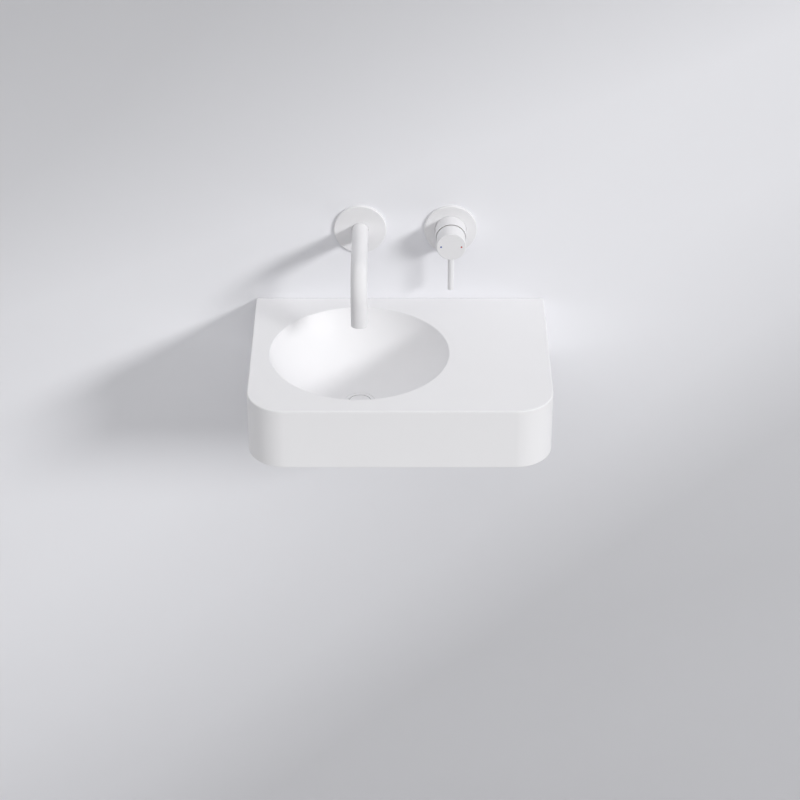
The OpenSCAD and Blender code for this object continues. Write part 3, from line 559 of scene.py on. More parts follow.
def cast_finish(colours):
    """Matt cast stone: an even white with faint clouds and a fine grain."""
    white = colours.cast_white
    shader, base, clouds = clouded("cast_white", 9.0, 3.0, rgba(white, 0.985), rgba(white, 1.012))
    grain = shader.noise(1600.0, detail=1.0)
    shader.surface(
        Base_Color=base,
        Roughness=0.46 + 0.06 * clouds + 0.03 * grain,
        Normal=shader.bump(grain + 0.6 * shader.noise(420.0, detail=2.0), 0.000012, 0.6),
    )


def coat_finish(colours):
    """Matt powder coat on metal: a soft orange peel under a thin even sheen."""
    shades = (rgba(colours.coat_white, 0.985), rgba(colours.coat_white, 1.01))
    shader, base = clouded("matt_white_metal", 30.0, 2.0, *shades)[:2]
    peel = shader.noise(780.0, detail=2.0, roughness=0.4)
    shader.surface(
        Base_Color=base,
        Roughness=0.76 + 0.08 * peel,
        Specular_IOR_Level=0.2,
        Normal=shader.bump(peel, 0.000022, 0.7),
    )


def moulded_finish(name, colour, roughness):
    """Moulded plastic: a satin skin with slight flow marks."""
    shader, base, flow = clouded(name, 26.0, 2.0, rgba(colour, 0.95), rgba(colour, 1.03))
    skin = shader.noise(1500.0, detail=1.0)
    shader.surface(
        Base_Color=base,
        Roughness=roughness + 0.08 * flow,
        Normal=shader.bump(skin, 0.00001, 0.5),
    )


def rubber_finish():
    """Black rubber with a dusty bloom."""
    shades = ((0.022, 0.022, 0.023, 1.0), (0.05, 0.05, 0.052, 1.0))
    shader, base, bloom = clouded("rubber_black", 120.0, 3.0, *shades)
    shader.surface(
        Base_Color=base,
        Roughness=0.62 + 0.2 * bloom,
        Normal=shader.bump(shader.noise(1100.0), 0.00003, 0.5),
    )


def metal_finish(name, dark, light, roughness, scratch_scale, depth):
    """Bare metal: fine tool marks, and darker where it has aged."""
    shader, base, age = clouded(name, 45.0, 4.0, dark, light)
    marks = shader.noise(scratch_scale, detail=3.0)
    shader.surface(
        Base_Color=base,
        Metallic=1.0,
        Roughness=roughness + 0.14 * age + 0.08 * marks,
        Normal=shader.bump(marks, depth, 0.6),
    )


def turned_metal_finish(name, dark, light, roughness):
    """Brushed metal that was turned on the waste's axis: rings of fine lines round it."""
    shader, base, age = clouded(name, 60.0, 3.0, dark, light)
    centred = shader.vector_maths("SUBTRACT", shader.coordinates(), (bowl_x, bowl_y, 0.0))
    flat = shader.vector_maths("MULTIPLY", centred, (1.0, 1.0, 0.0))
    reach = shader.add("ShaderNodeVectorMath", {"operation": "LENGTH"}, {0: flat}, out="Value")
    rings = shader.add("ShaderNodeCombineXYZ", sockets={"X": reach, "Z": reach})
    lines = shader.noise(6500.0, detail=2.0, vector=rings)
    shader.surface(
        Base_Color=base,
        Metallic=1.0,
        Roughness=roughness + 0.12 * lines + 0.06 * age,
        Normal=shader.bump(lines, 0.000008, 0.5),
    )


def ceramic_finish():
    """Lapped ceramic of the cartridge's discs."""
    shades = ((0.78, 0.76, 0.69, 1.0), (0.86, 0.84, 0.78, 1.0))
    shader, base, grain = clouded("disc_ceramic", 900.0, 3.0, *shades)
    shader.surface(Base_Color=base, Roughness=0.16 + 0.06 * grain)


def enamel_finish(name, colour):
    """Glossy enamel in the cap's small marks."""
    shader, base, depth = clouded(name, 900.0, 2.0, rgba(colour, 0.85), rgba(colour, 1.1))
    shader.surface(Base_Color=base, Roughness=0.22 + 0.06 * depth)


def sheet_shape(mesh, low, high, height, front_reach, back_reach):
    """A flat face whose front and back corners are rounded with a radius of their own."""
    places = ((low[0], low[1]), (high[0], low[1]), (high[0], high[1]), (low[0], high[1]))
    corners = [mesh.verts.new((x, y, height)) for x, y in places]
    front_steps = 20
    back_steps = 5
    mesh.faces.new(corners)
    bevel(mesh, corners[:2], front_reach, front_steps, "VERTICES")
    bevel(mesh, corners[2:], back_reach, back_steps, "VERTICES")


def lies_in(item, axis, place):
    """Whether an edge or a face lies in one plane across an axis."""
    return all(abs(vert.co[axis] - place) < FLATNESS for vert in item.verts)


def open_edges(mesh, axis, place):
    """The open edges that lie in one plane across an axis."""
    return [edge for edge in mesh.edges if len(edge.link_faces) < 2 and lies_in(edge, axis, place)]


def fill_flat(mesh, axis, place, facing):
    """Closes the open edges in one plane across an axis with flat faces."""
    edges = open_edges(mesh, axis, place)
    bmesh.ops.triangle_fill(mesh, use_beauty=True, use_dissolve=False, edges=edges, normal=facing)


def prism(low, high, bottom, top, front_reach, back_reach, edge_reach, both_ends):
    """An upright block with rounded corners and edges, and without its flat ends and back."""
    mesh = bmesh.new()
    sheet_shape(mesh, low, high, bottom, front_reach, back_reach)
    lift(mesh, top - bottom)
    edges = [edge for edge in mesh.edges if lies_in(edge, Z_AXIS, top)]
    if both_ends:
        edges += [edge for edge in mesh.edges if lies_in(edge, Z_AXIS, bottom)]
    edge_steps = 5
    bevel(mesh, edges, edge_reach, edge_steps)
    flats = [
        face for face in mesh.faces
        if lies_in(face, Z_AXIS, bottom)
        or lies_in(face, Z_AXIS, top)
        or lies_in(face, Y_AXIS, high[1])
    ]
    bmesh.ops.delete(mesh, geom=flats, context="FACES_ONLY")
    return mesh


def flare(mesh, low, high, height, reach):
    """Rounds the mouth of the room below outwards and down, in three steps."""
    middle = Vector(((low[0] + high[0]) / 2, (low[1] + high[1]) / 2, 0.0))
    half = ((high[0] - low[0]) / 2, (high[1] - low[1]) / 2)
    ring = open_edges(mesh, Z_AXIS, height)
    out = down = 0.0
    for degrees in (30, 60, 90):
        ring, points = extrude(mesh, ring)
        next_out = reach * (1 - math.cos(math.radians(degrees)))
        next_down = reach * math.sin(math.radians(degrees))
        shares = [(side + next_out) / (side + out) for side in half]
        bmesh.ops.scale(mesh, vec=(*shares, 1.0), space=Matrix.Translation(-middle), verts=points)
        bmesh.ops.translate(mesh, vec=(0.0, 0.0, down - next_down), verts=points)
        out = next_out
        down = next_down


def bowl_wall(sizes):
    """The bowl with its rim, floor, drain seat and outer shell, as one turned wall."""
    rim = sizes.bowl_radius
    top = basin_hi.z
    depth = 77.0 * MM
    flat = 24.0 * MM
    shell = 9.0 * MM
    floor = top - depth
    ceiling = top - DECK_THICKNESS
    rise = (rim ** 2 - flat ** 2 - depth ** 2) / (2 * depth)
    radius = math.hypot(rim, rise)
    centre = (0.0, 0.0, top + rise)
    seat_radius = 20.2 * MM
    seat = waste_hi.z - 2.8 * MM
    hole = 16.8 * MM
    boss = 31.0 * MM
    boss_foot = floor - 10.0 * MM
    outer = radius + shell
    mouth = math.sqrt(outer ** 2 - (top + rise - ceiling) ** 2)
    deck_reach = 6.0 * MM
    ceiling_reach = 2.2 * MM
    mesh = bmesh.new()

    def arc(from_radius, to_radius, arc_radius, steps):
        height = top + rise - math.sqrt(arc_radius ** 2 - from_radius ** 2)
        start = mesh.verts.new((from_radius, 0.0, height))
        angle = math.asin(from_radius / arc_radius) - math.asin(to_radius / arc_radius)
        return start, corners_in(spin(mesh, [start], centre, (0.0, 1.0, 0.0), angle, steps))[0]

    rim_corner, floor_corner = arc(rim, flat, radius, 44)
    shell_mouth, shell_foot = arc(mouth, boss, outer, 30)
    deck_end = mesh.verts.new((rim + deck_reach, 0.0, top))
    chain = [
        mesh.verts.new((seat_radius, 0.0, floor)),
        mesh.verts.new((seat_radius, 0.0, seat)),
        mesh.verts.new((hole, 0.0, seat)),
        mesh.verts.new((hole, 0.0, boss_foot)),
        mesh.verts.new((boss, 0.0, boss_foot)),
    ]
    mesh.edges.new((deck_end, rim_corner))
    for first, second in zip([floor_corner] + chain, chain + [shell_foot]):
        mesh.edges.new((first, second))
    ceiling_end = mesh.verts.new((mouth + ceiling_reach, 0.0, ceiling))
    mesh.edges.new((shell_mouth, ceiling_end))
    for corner, reach, segments in (
        (rim_corner, 0.66 * sizes.rim_radius, 6),
        (floor_corner, 2.2 * MM, 5),
        (chain[0], 0.4 * MM, 3),
        (chain[4], 0.8 * MM, 4),
        (shell_foot, 1.2 * MM, 4),
        (shell_mouth, 1.4 * MM, 4),
    ):
        bevel(mesh, [corner], reach, segments, "VERTICES")
    spin_round(mesh, sizes.steps)
    bmesh.ops.translate(mesh, vec=(bowl_x, bowl_y, 0.0), verts=mesh.verts[:])
    return mesh


def add_rebate(mesh):
    """Trims the basin at the wall, with a narrow rebate round its back."""
    deep = 0.5 * MM
    wide = 2.0 * MM
    start = basin_hi.y - deep
    bmesh.ops.bisect_plane(
        mesh, geom=all_of(mesh), plane_co=(0.0, start, 0.0), plane_no=(0.0, 1.0, 0.0),
        clear_outer=True,
    )
    middle = (basin_lo + basin_hi) / 2
    half = basin_hi - middle
    narrower = Matrix.Diagonal((1.0 - wide / half.x, 1.0, 1.0 - wide / half.z, 1.0))
    points = extrude(mesh, open_edges(mesh, Y_AXIS, start))[1]
    bmesh.ops.transform(mesh, matrix=narrower, space=Matrix.Translation(-middle), verts=points)
    points = extrude(mesh, open_edges(mesh, Y_AXIS, start))[1]
    bmesh.ops.translate(mesh, vec=(0.0, deep, 0.0), verts=points)


class WASHBASIN_OT_basin(Operator):
    """Models the cast basin: deck, bowl, aprons, back wall and the open room below."""

    bl_idname = "washbasin.basin"
    bl_label = "Basin"

    def execute(self, context):
        sizes = context.scene.washbasin_sizes
        apron = sizes.apron
        back = 16.0 * MM
        ceiling = basin_hi.z - DECK_THICKNESS
        arris = 1.0 * MM
        past_wall = 0.7 * sizes.edge_radius
        back_corner = 2.2 * MM
        room_corner = 6.0 * MM
        room_edge = 2.0 * MM
        bolt_hole = 9.2 * MM
        mesh = prism(
            (basin_lo.x, basin_lo.y), (basin_hi.x, basin_hi.y + past_wall), basin_lo.z, basin_hi.z,
            sizes.corner_radius, back_corner, sizes.edge_radius, True,
        )
        room_lo = (basin_lo.x + apron, basin_lo.y + apron)
        room_hi = (basin_hi.x - apron, basin_hi.y - back)
        room = prism(
            room_lo, room_hi, basin_lo.z + arris, ceiling, sizes.corner_radius - apron, room_corner,
            room_edge, False,
        )
        flare(room, room_lo, room_hi, basin_lo.z + arris, arris)
        join(mesh, room)
        fill_flat(mesh, Z_AXIS, basin_lo.z, (0.0, 0.0, -1.0))
        join(mesh, bowl_wall(sizes))
        fill_flat(mesh, Z_AXIS, basin_hi.z, (0.0, 0.0, 1.0))
        fill_flat(mesh, Z_AXIS, ceiling, (0.0, 0.0, -1.0))
        add_rebate(mesh)
        for side in (-1, 1):
            place = Matrix.Translation((0.0, basin_hi.y, 0.0)) @ out_of_wall(side * bolt_x, 0.0)
            hole = add_ring(mesh, bolt_hole, 48, place)
            bmesh.ops.translate(mesh, vec=(0.0, -back, 0.0), verts=extrude(mesh, hole)[1])
        for face_y in (basin_hi.y, basin_hi.y - back):
            fill_flat(mesh, Y_AXIS, face_y, (0.0, 1.0, 0.0))
        make_piece("basin_cast", mesh, Matrix.Identity(4), "basin", crease=30.0)
        return {"FINISHED"}


class WASHBASIN_OT_fixings(Operator):
    """Models the two hanger bolts with their sleeves, washers and nuts."""

    bl_idname = "washbasin.fixings"
    bl_label = "Wall fixings"

    def execute(self, context):
        groups = {"bolts": [], "bushes": [], "washers": [], "nuts": []}
        for side in (-1, 1):
            place = out_of_wall(side * bolt_x, 0.0)
            bolt = turned(
                [
                    (0, -70), (0.6, -70), (3.9, -65), (3.9, -0.5), (3.4, -0.5), (3.4, 31.6),
                    (2.7, 32.5), (0, 32.5),
                ],
                None, False, 40,
            )
            join(bolt, thread(3.85, 5.0, 4.5, -64, -2, 36), thread(3.35, 4.0, 1.25, 0, 31.9, 32))
            bush = turned(
                [(4.3, 0), (9, 0), (9, 16), (15, 16), (15, 19), (4.3, 19)],
                {3: 0.3, 4: 0.9, 5: 0.4}, True, 64,
            )
            washer = collar(4.3, 12, 19, 21, {1: 0.3, 2: 0.4, 3: 0.3}, 64)
            nut = carve(hexagon(13, 21, 27.5), rod(4.1, 20, 29, 0, 32))
            for name, mesh in zip(groups, (bolt, bush, washer, nut)):
                groups[name].append(moved(mesh, place))
        for name, meshes in groups.items():
            node = "wall_bolts" if name == "bolts" else "bolt_" + name
            soften = 0.2 if name == "nuts" else 0.0
            make_piece("basin_" + name, join(*meshes), Matrix.Identity(4), node, soften=soften)
        return {"FINISHED"}


def fluted(outline, rounds, radius, flutes, low, high, width=2.0):
    """A round nut with finger flutes, from its turned profile."""
    cutters = []
    reach = (radius + 1.0) * MM
    past = 2.0
    for index in range(flutes):
        angle = math.tau * index / flutes
        cutter = rod(width, low - past, high + past, 0, 20)
        place = Matrix.Translation((reach * math.cos(angle), reach * math.sin(angle), 0.0))
        cutters.append(moved(cutter, place))
    return carve(turned(outline, rounds, True, 112), join(*cutters))


def around(count):
    """Even turns round the upright axis."""
    return [Matrix.Rotation(math.tau * index / count, 4, "Z") for index in range(count)]


class WASHBASIN_OT_waste(Operator):
    """Models the waste: its flange and threaded tail, the strainer, the seal and the nut."""

    bl_idname = "washbasin.waste"
    bl_label = "Waste"

    def execute(self, context):
        place = upright(bowl_x, bowl_y)
        body = turned(
            [
                (13.5, -68), (15.9, -68), (16.3, -67.4), (16.3, -37.2), (20, -37.2), (20, -35),
                (15.2, -35), (15.2, -40), (13.5, -40),
            ],
            {4: 0.2, 5: 0.6, 6: 0.3, 8: 0.2},
        )
        join(body, thread(16.25, 16.6, 2.309, -67, -46, 72))
        make_piece("waste_flange", body, place, "waste_body")
        basket = turned(
            [
                (0, -55), (13.3, -55), (13.3, -40), (15, -40), (15, -38.6), (12.3, -38.6),
                (12.3, -54), (0, -54),
            ],
            {1: 1.2, 3: 0.2, 4: 0.5, 5: 0.5, 6: 0.8}, False, 96,
        )
        slots = [moved(box((11, -1, -52), (15, 1, -43), 0.3), turn) for turn in around(10)]
        hole_place = Matrix.Translation((8.3 * MM, 0.0, 0.0))
        holes = [moved(rod(1.5, -56.4, -52.4, 0, 24), turn @ hole_place) for turn in around(6)]
        basket = carve(basket, join(*slots, *holes))
        cover = turned(
            [
                (0, -54.2), (3.4, -54.2), (2, -52.8), (2, -38.4), (3.4, -37), (14.5, -37),
                (14.5, -35.2), (0, -35.2),
            ],
            {2: 1.0, 3: 1.0, 5: 0.4, 6: 0.6}, False, 96,
        )
        make_piece("waste_basket", join(basket, cover), place, "waste_strainer")
        seal = collar(16.8, 24, -48, -45, {1: 0.8, 2: 0.8}, 96)
        make_piece("waste_washer", seal, place, "waste_seal")
        nut = fluted(
            [(16.9, -56), (25, -56), (25, -48), (16.9, -48)], {0: 0.6, 1: 0.9, 2: 0.6},
            25, 12, -56, -48,
        )
        make_piece("waste_locknut", nut, place, "waste_nut", soften=0.25)
        return {"FINISHED"}


class WASHBASIN_OT_trap(Operator):
    """Models the bottle trap with its elbow, coupling nuts, cup, outlet pipe and wall plate."""

    bl_idname = "washbasin.trap"
    bl_label = "Trap"

    def execute(self, context):
        place = upright(bowl_x, bowl_y)
        trap_place = upright(bowl_x, trap_y)
        level = out_of_wall(bowl_x, drain_z)
        nut = fluted(
            [(14.4, -76), (22, -76), (22, -58), (16.9, -58), (16.9, -73), (14.4, -73)],
            {0: 0.4, 1: 1.4, 2: 0.9}, 22, 12, -76, -58,
        )
        make_piece("elbow_coupling", nut, place, "elbow_nut", soften=0.25)
        x = bowl_x / MM
        y = bowl_y / MM
        right = (1.0, 0.0, 0.0)
        elbow = pipe(
            14, (x, y, -70), (0, 0, -1),
            [
                ("on", 7), ("turn", 18, 90, right), ("on", 5), ("to", 20.8), ("on", 16),
                ("to", 16.2), ("on", -14), ("to", 11.6), ("on", -7), ("turn", 18, -90, right),
                ("on", -7), ("to", 14),
            ],
        )
        join(elbow, moved(collar(11.6, 16.4, -73, -70, {1: 0.4, 2: 0.4}, 72), place))
        make_piece("elbow_bend", elbow, Matrix.Identity(4), "waste_elbow", soften=0.5)
        nuts = []
        for face in (106.6, 18.0):
            start = face - 7
            nuts.append(fluted(
                [
                    (16.2, start), (20.8, start), (24.8, start + 3.2), (24.8, start + 17),
                    (20.95, start + 17), (20.95, start + 3), (16.2, start + 3),
                ],
                {0: 0.4, 1: 0.8, 2: 0.8, 3: 0.8}, 24.8, 14, start, start + 17,
            ))
        make_piece("compression_nuts", join(*nuts), level, "pipe_nuts", soften=0.25)
        body = turned(
            [(25.6, -130.6), (28, -130.6), (28, -75), (0, -75), (0, -77.4), (25.6, -77.4)],
            {1: 0.4, 2: 3.0, 5: 1.0}, True, 112, 6,
        )
        join(body, thread(27.9, 28.6, 3.6, -130, -114, 96))
        dip = collar(12.6, 15, -159.5, -76, {0: 0.4, 1: 0.6}, 72)
        moved(join(body, dip), trap_place)
        socket = collar(16.2, 20.8, 18, 50, {0: 0.5, 1: 0.6}, 96)
        inlet = collar(11.6, 16, 76, 120.4, {2: 0.8, 3: 0.5}, 96)
        moved(join(socket, inlet), level)
        make_piece("trap_bottle", join(body, socket), Matrix.Identity(4), "trap_body")
        cup = turned(
            [
                (0, -173.1), (30.7, -173.1), (30.7, -116.6), (28.1, -116.6), (28.1, -132.6),
                (25.6, -132.6), (25.6, -157.7), (19.6, -170.5), (0, -170.5),
            ],
            {1: 4.0, 2: 0.9, 3: 0.5, 6: 3.0, 7: 3.0}, False, 128, 6,
        )
        rib = ((29.6, -0.8, -136.6), (31.7, 0.8, -118.6), 0.45)
        ribs = [moved(box(*rib), turn) for turn in around(20)]
        make_piece("trap_bowl", join(cup, *ribs), trap_place, "trap_cup")
        tube = turned(
            [
                (14.5, -60), (16, -60), (16, -2), (15.6, -2), (15.6, -1), (16, -1), (16, 31.8),
                (14.5, 31.8),
            ],
            {0: 0.3, 1: 0.5, 6: 0.5, 7: 0.3}, True, 96,
        )
        make_piece("outlet_pipe", tube, level, "wall_pipe")
        rose = turned(
            [(16.2, 0), (20, 0), (20, 3.4), (32.4, 3.4), (32.4, 0), (34, 0), (34, 5), (16.2, 5)],
            {6: 2.0, 7: 0.5, 5: 0.2}, True, 128, 6,
        )
        make_piece("outlet_rosette", rose, level, "wall_rosette")
        return {"FINISHED"}


class WASHBASIN_OT_plates(Operator):
    """Models the two round plates against the wall."""

    bl_idname = "washbasin.plates"
    bl_label = "Wall plates"

    def execute(self, context):
        for name, node, x, bore in (
            ("spout_rose", "spout_plate", bowl_x, 11.2),
            ("mixer_rose", "mixer_plate", mixer_x, 21.4),
        ):
            boss = bore + 4
            plate = turned(
                [
                    (bore, 0), (boss, 0), (boss, 3.4), (32.8, 3.4), (32.8, 0), (36, 0), (36, 5),
                    (bore, 5), (bore, 3.5), (bore + 1, 3.2), (bore + 1, 1.8), (bore, 1.5),
                ],
                {5: 0.2, 6: 1.5, 7: 0.35}, True, 0, 6,
            )
            make_piece(name, plate, out_of_wall(x, tap_z), node)
        return {"FINISHED"}


class WASHBASIN_OT_spout(Operator):
    """Models the bent spout tube with its bored nose."""

    bl_idname = "washbasin.spout"
    bl_label = "Spout"

    def execute(self, context):
        x = bowl_x / MM
        top = tap_z / MM
        radius = 11.0
        bore = 9.4
        bend_radius = 33.0
        in_wall = 5.0
        drop = top - spout_lo.z / MM - bend_radius
        level = in_wall - spout_lo.y / MM - radius - bend_radius
        right = (1.0, 0.0, 0.0)
        tube = pipe(
            radius, (x, in_wall, top), (0, -1, 0),
            [
                ("on", level), ("turn", bend_radius, 90, right), ("on", drop), ("to", bore),
                ("on", -drop), ("turn", bend_radius, -90, right), ("on", -level), ("to", radius),
            ],
            72,
        )
        screw_place = Matrix.Translation((bowl_x, -10.0 * MM, tap_z))
        hole = moved(rod(2.6, -20, 0, 0, 32), screw_place)
        tube = carve(tube, hole)
        make_piece("spout_bend", tube, Matrix.Identity(4), "spout_tube", soften=0.45)
        return {"FINISHED"}


class WASHBASIN_OT_mixer(Operator):
    """Models the mixer's sleeve and its handle: the cap, the lever pin and the two marks."""

    bl_idname = "washbasin.mixer"
    bl_label = "Mixer"

    def execute(self, context):
        place = out_of_wall(mixer_x, tap_z)
        sleeve = turned(
            [(17.1, -5), (21.2, -5), (21.2, 27.9), (20.2, 27.9), (20.2, 15), (17.1, 15)],
            {1: 0.4, 2: 0.5, 3: 0.3}, True, 0, 5,
        )
        make_piece("mixer_barrel", sleeve, place, "mixer_sleeve")
        cap = turned(
            [
                (0, 43), (8, 43), (8, 50), (17.4, 50), (17.4, 28.2), (19.8, 28.2), (19.8, 54),
                (0, 54),
            ],
            {1: 0.4, 4: 0.3, 5: 0.4, 6: 1.0}, False, 0, 6,
        )
        down = Matrix.Translation((0.0, 0.0, -lever_y)) @ Matrix.Rotation(math.radians(90), 4, "X")
        cutter = turned(
            [(0, 4), (2.6, 4), (2.6, 19.1), (4.3, 19.1), (4.3, 24), (0, 24)], None, False, 64
        )
        moved(cutter, down)
        mark_places = {side: Matrix.Translation((side * mark_x, 0.0, 0.0)) for side in (-1, 1)}
        for shift in mark_places.values():
            join(cutter, moved(rod(1.3, 53.4, 55, 0, 32), shift))
        cap = carve(cap, cutter)
        make_piece("handle_shell", cap, place, "handle_cap", soften=0.15)
        top = tap_z / MM
        lever = turned(
            [
                (0, top - 68.6), (4.2, top - 68.6), (4.2, top - 19.1), (2.5, top - 19.1),
                (2.5, top - 3.2), (0, top - 3.2),
            ],
            {1: 0.5, 2: 0.3, 4: 0.3}, False, 64, 5,
        )
        make_piece("handle_lever", lever, upright(mixer_x, lever_y), "lever_pin")
        for side, name, node in ((1, "mark_hot", "hot_mark"), (-1, "mark_cold", "cold_mark")):
            dot = turned(
                [(0, 53.4), (1.2, 53.4), (1.2, 53.95), (0.7, 54.05), (0, 54.07)],
                {2: 0.15, 3: 0.2}, False, 32,
            )
            make_piece(name, moved(dot, mark_places[side]), place, node)
        return {"FINISHED"}


class WASHBASIN_OT_finishes(Operator):
    """Makes every finish."""

    bl_idname = "washbasin.finishes"
    bl_label = "Finishes"

    def execute(self, context):
        colours = context.scene.washbasin_colours
        cast_finish(colours)
        coat_finish(colours)
        moulded_finish("plastic_white", colours.plastic_white, 0.34)
        moulded_finish("plastic_grey", (0.30, 0.31, 0.32), 0.40)
        rubber_finish()
        turned_metal_finish("stainless", rgba((0.58, 0.58, 0.57)), rgba((0.68, 0.68, 0.67)), 0.24)
        for name, dark, light, roughness, scratches, depth in (
            ("steel", (0.50, 0.51, 0.52), (0.66, 0.67, 0.68), 0.28, 900.0, 0.00001),
            ("brass", (0.56, 0.38, 0.16), (0.74, 0.55, 0.27), 0.26, 700.0, 0.00001),
            ("nickel_plate", (0.62, 0.61, 0.58), (0.78, 0.76, 0.72), 0.30, 700.0, 0.000008),
            ("copper", (0.55, 0.26, 0.16), (0.80, 0.43, 0.29), 0.25, 500.0, 0.000008),
        ):
            metal_finish(name, rgba(dark), rgba(light), roughness, scratches, depth)
        ceramic_finish()
        enamel_finish("hot_red", (0.55, 0.05, 0.04))
        enamel_finish("cold_blue", (0.05, 0.13, 0.48))
        return {"FINISHED"}


class WASHBASIN_OT_inner_parts(Operator):
    """Finishes the solids that stay as they are: the seals, the cartridge and the in-wall brass."""

    bl_idname = "washbasin.inner_parts"
    bl_label = "Inner parts"

    def execute(self, context):
        for name, node in frame["nodes"].items():
            if node.hide_render:
                continue
            node.data.materials.clear()
            finish = "nickel_plate" if name == "retaining_nut" else slot_of[name]
            node.data.materials.append(bpy.data.materials[finish])
            for face in node.data.polygons:
                face.use_smooth = True
            weld = node.modifiers.new("Weld", "WELD")
            weld.merge_threshold = 0.01 * MM
            split = node.modifiers.new("Sharp edges", "EDGE_SPLIT")
            split.split_angle = math.radians(30)
        return {"FINISHED"}


def one_sided(name, colour, roughness):
    """A stage finish that is seen from its front only, so that it hides no side of the object."""
    shader = new_finish(name)
    behind = shader.add("ShaderNodeNewGeometry", out="Backfacing")
    clear = shader.add("ShaderNodeBsdfTransparent")
    front = shader.add(
        "ShaderNodeBsdfPrincipled",
        sockets={"Base Color": colour(shader), "Roughness": roughness, "Specular IOR Level": 0.2},
    )
    return shader.close(shader.add("ShaderNodeMixShader", sockets={0: behind, 1: front, 2: clear}))


def wall_colour_with_painted_light(shader):
    """Pale plaster whose colour holds painted light: darker above one soft line and below another
    that runs down more steeply, as painted shade that stands in for the light falling on the wall.
    """
    place = {0: shader.coordinates()}
    across, height = shader.outputs("ShaderNodeSeparateXYZ", "X", "Z", sockets=place)
    above = 0.616 + 0.577 * (height - 0.4 * across)
    below = 0.598 + 0.439 * (height - 0.9 * across)
    painted_light_bands = []
    # The greys of both bands are painted light and painted shade on the wall, not the plaster's own
    # tone
    for band, painted_light_greys in (
        (above, (0.657, 0.707, 0.741, 0.823, 0.913, 0.981, 1.0, 0.875, 0.765)),
        (below, (0.905, 0.871, 0.840, 0.816, 0.944, 0.992, 1.0, 0.962, 0.904, 0.854, 0.885)),
    ):
        last = len(painted_light_greys) - 1
        stops = [(index / last, (grey, grey, grey, 1.0)) for index, grey in enumerate(painted_light_greys)]
        painted_light_bands.append(shader.add("ShaderNodeValToRGB", {"stops": stops}, {"Fac": band}, out="Color"))
    both = shader.vector_maths("MULTIPLY", *painted_light_bands)
    return shader.vector_maths("MULTIPLY", both, (0.925, 0.927, 0.960))


def floor_colour(shader):
    """A plain pale floor."""
    clouds = shader.noise(1.5, detail=2.0)
    return shader.blend(clouds, (0.80, 0.80, 0.81, 1.0), (0.82, 0.82, 0.83, 1.0))


def open_behind_basin(mesh, inset):
    """Cuts an opening in the wall where the basin covers it, so that light reaches its back."""
    low = basin_lo + Vector((inset, 0.0, inset))
    high = basin_hi - Vector((inset, 0.0, inset))
    for place in (low, high):
        for normal in ((1.0, 0.0, 0.0), (0.0, 0.0, 1.0)):
            bmesh.ops.bisect_plane(mesh, geom=all_of(mesh), plane_co=place, plane_no=normal)
    covered = []
    for face in mesh.faces:
        centre = face.calc_center_median()
        if low.x < centre.x < high.x and low.z < centre.z < high.z:
            covered.append(face)
    bmesh.ops.delete(mesh, geom=covered, context="FACES")


def stage_sheet(name, size, place, material, inset=0.0):
    """A plane of the stage."""
    mesh = bmesh.new()
    bmesh.ops.create_grid(mesh, x_segments=1, y_segments=1, size=size / 2)
    bmesh.ops.transform(mesh, matrix=place, verts=mesh.verts[:])
    if inset:
        open_behind_basin(mesh, inset)
    sheet = add_mesh_object(name, mesh)
    sheet.data.materials.append(material)


def key_light(place, target, roll, size, power):
    """A large soft light that points at a place. It is 0.4 times as wide as it is long."""
    data = bpy.data.lights.new("Key light", "AREA")
    data.shape = "ELLIPSE"
    data.size = size
    data.size_y = 0.4 * size
    data.energy = power
    light = add_object("Key light", data)
    light.location = place
    aim = (target - place).to_track_quat("-Z", "Y").to_matrix()
    light.rotation_euler = (aim @ Matrix.Rotation(roll, 3, "Z")).to_euler()


def make_world(strength):
    """Even pale light that is brighter overhead, and a white background to look at."""
    shader = Shader(bpy.data.worlds.new("Studio"), "ShaderNodeOutputWorld")
    place = {0: shader.add("ShaderNodeTexCoord", out="Generated")}
    across, up = shader.outputs("ShaderNodeSeparateXYZ", "X", "Z", sockets=place)
    left_share = 0.10
    overhead = (strength * up).at_least(0.0)
    from_left = (-left_share * strength * across).at_least(0.0)
    light = shader.add("ShaderNodeBackground", sockets={"Strength": overhead + from_left})
    seen = shader.add(
        "ShaderNodeBackground", sockets={"Color": (0.88, 0.885, 0.90, 1.0), "Strength": 1.0}
    )
    straight, mirrored, through = shader.outputs(
        "ShaderNodeLightPath", "Is Camera Ray", "Is Glossy Ray", "Is Transmission Ray"
    )
    looked_at = straight.at_least(mirrored).at_least(through)
    mix = shader.add("ShaderNodeMixShader", sockets={0: looked_at, 1: light, 2: seen})
    bpy.context.scene.world = shader.close(mix)


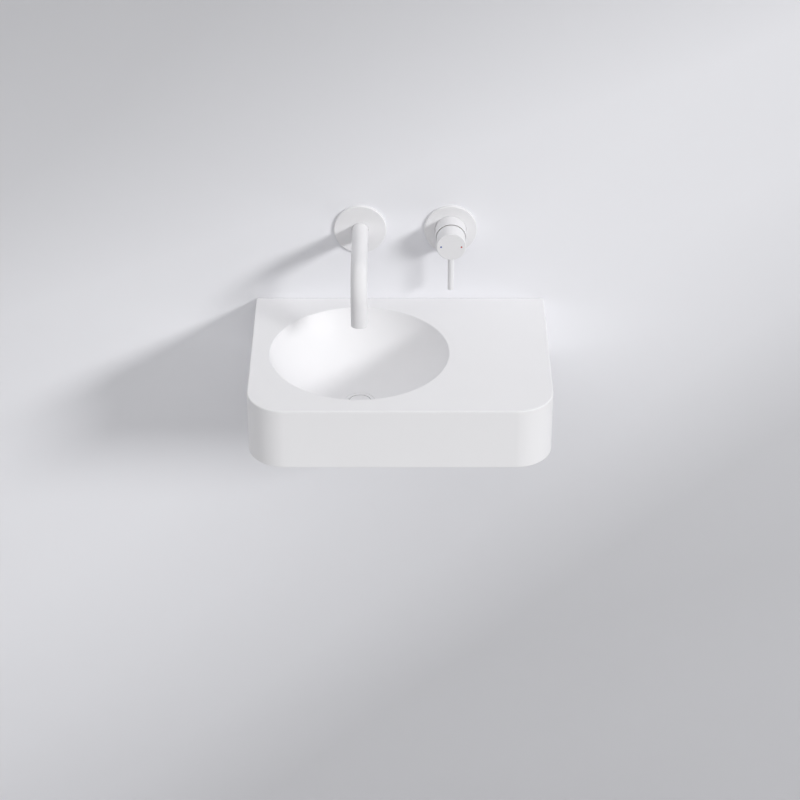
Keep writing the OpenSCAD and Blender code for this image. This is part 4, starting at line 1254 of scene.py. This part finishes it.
class WASHBASIN_OT_stage(Operator):
    """Makes the wall, the floor, the soft light and the camera."""

    bl_idname = "washbasin.stage"
    bl_label = "Stage"

    def execute(self, context):
        stage = context.scene.washbasin_stage
        width = 5.0
        wall_middle = 0.9
        floor_z = -0.95
        inset = 3.0 * MM
        # The wall's colour holds painted light and shade in two soft bands
        wall = one_sided("wall_plaster_with_painted_light", wall_colour_with_painted_light, 0.9)
        stage_sheet("stage_wall", width, out_of_wall(0.0, wall_middle), wall, inset)
        floor = one_sided("pale_floor", floor_colour, 0.8)
        stage_sheet("stage_floor", width, Matrix.Translation((0.0, -width / 2, floor_z)), floor)
        key_light(
            Vector((12.8, -12.0, 7.1)), Vector((0.0, -0.1, 0.0)), math.radians(17),
            stage.key_size, stage.key_power,
        )
        make_world(stage.world_strength)
        data = bpy.data.cameras.new("Camera")
        data.lens = stage.camera_lens
        data.sensor_width = 36.0
        data.clip_start = 0.05
        data.clip_end = 50.0
        camera = add_object("Camera", data)
        camera.location = (0.0, -stage.camera_distance, basin_hi.z + stage.camera_rise)
        camera.rotation_euler = (math.pi / 2 - stage.camera_pitch, 0.0, 0.0)
        context.scene.camera = camera
        context.scene.view_settings.view_transform = "Standard"
        return {"FINISHED"}


class WASHBASIN_PT_sidebar(Panel):
    """Lists the washbasin's sizes, colours and pieces."""

    bl_idname = "WASHBASIN_PT_sidebar"
    bl_label = "Wall-Hung Washbasin"
    bl_space_type = "VIEW_3D"
    bl_region_type = "UI"
    bl_category = SIDEBAR

    def draw(self, context):
        scene = context.scene
        for group in (scene.washbasin_sizes, scene.washbasin_colours, scene.washbasin_stage):
            box_of_values = self.layout.box()
            for name in group.bl_rna.properties.keys():
                if name not in ("rna_type", "name"):
                    box_of_values.prop(group, name)
        for operator in PIECES:
            self.layout.operator(operator.bl_idname)


PIECES = (
    WASHBASIN_OT_finishes,
    WASHBASIN_OT_basin,
    WASHBASIN_OT_fixings,
    WASHBASIN_OT_waste,
    WASHBASIN_OT_trap,
    WASHBASIN_OT_plates,
    WASHBASIN_OT_spout,
    WASHBASIN_OT_mixer,
    WASHBASIN_OT_inner_parts,
    WASHBASIN_OT_stage,
)
GROUPS = (
    ("washbasin_sizes", WashbasinSizes),
    ("washbasin_colours", WashbasinColours),
    ("washbasin_stage", WashbasinStage),
)


def register():
    for name, group in GROUPS:
        bpy.utils.register_class(group)
        setattr(bpy.types.Scene, name, PointerProperty(type=group))
    for piece in PIECES:
        bpy.utils.register_class(piece)
    bpy.utils.register_class(WASHBASIN_PT_sidebar)


def unregister():
    bpy.utils.unregister_class(WASHBASIN_PT_sidebar)
    for piece in reversed(PIECES):
        bpy.utils.unregister_class(piece)
    for name, group in reversed(GROUPS):
        delattr(bpy.types.Scene, name)
        bpy.utils.unregister_class(group)


def main():
    register()
    bpy.ops.washbasin.finishes()
    bpy.ops.washbasin.basin()
    bpy.ops.washbasin.fixings()
    bpy.ops.washbasin.waste()
    bpy.ops.washbasin.trap()
    bpy.ops.washbasin.plates()
    bpy.ops.washbasin.spout()
    bpy.ops.washbasin.mixer()
    bpy.ops.washbasin.inner_parts()
    bpy.ops.washbasin.stage()


if __name__ == "__main__":
    main()
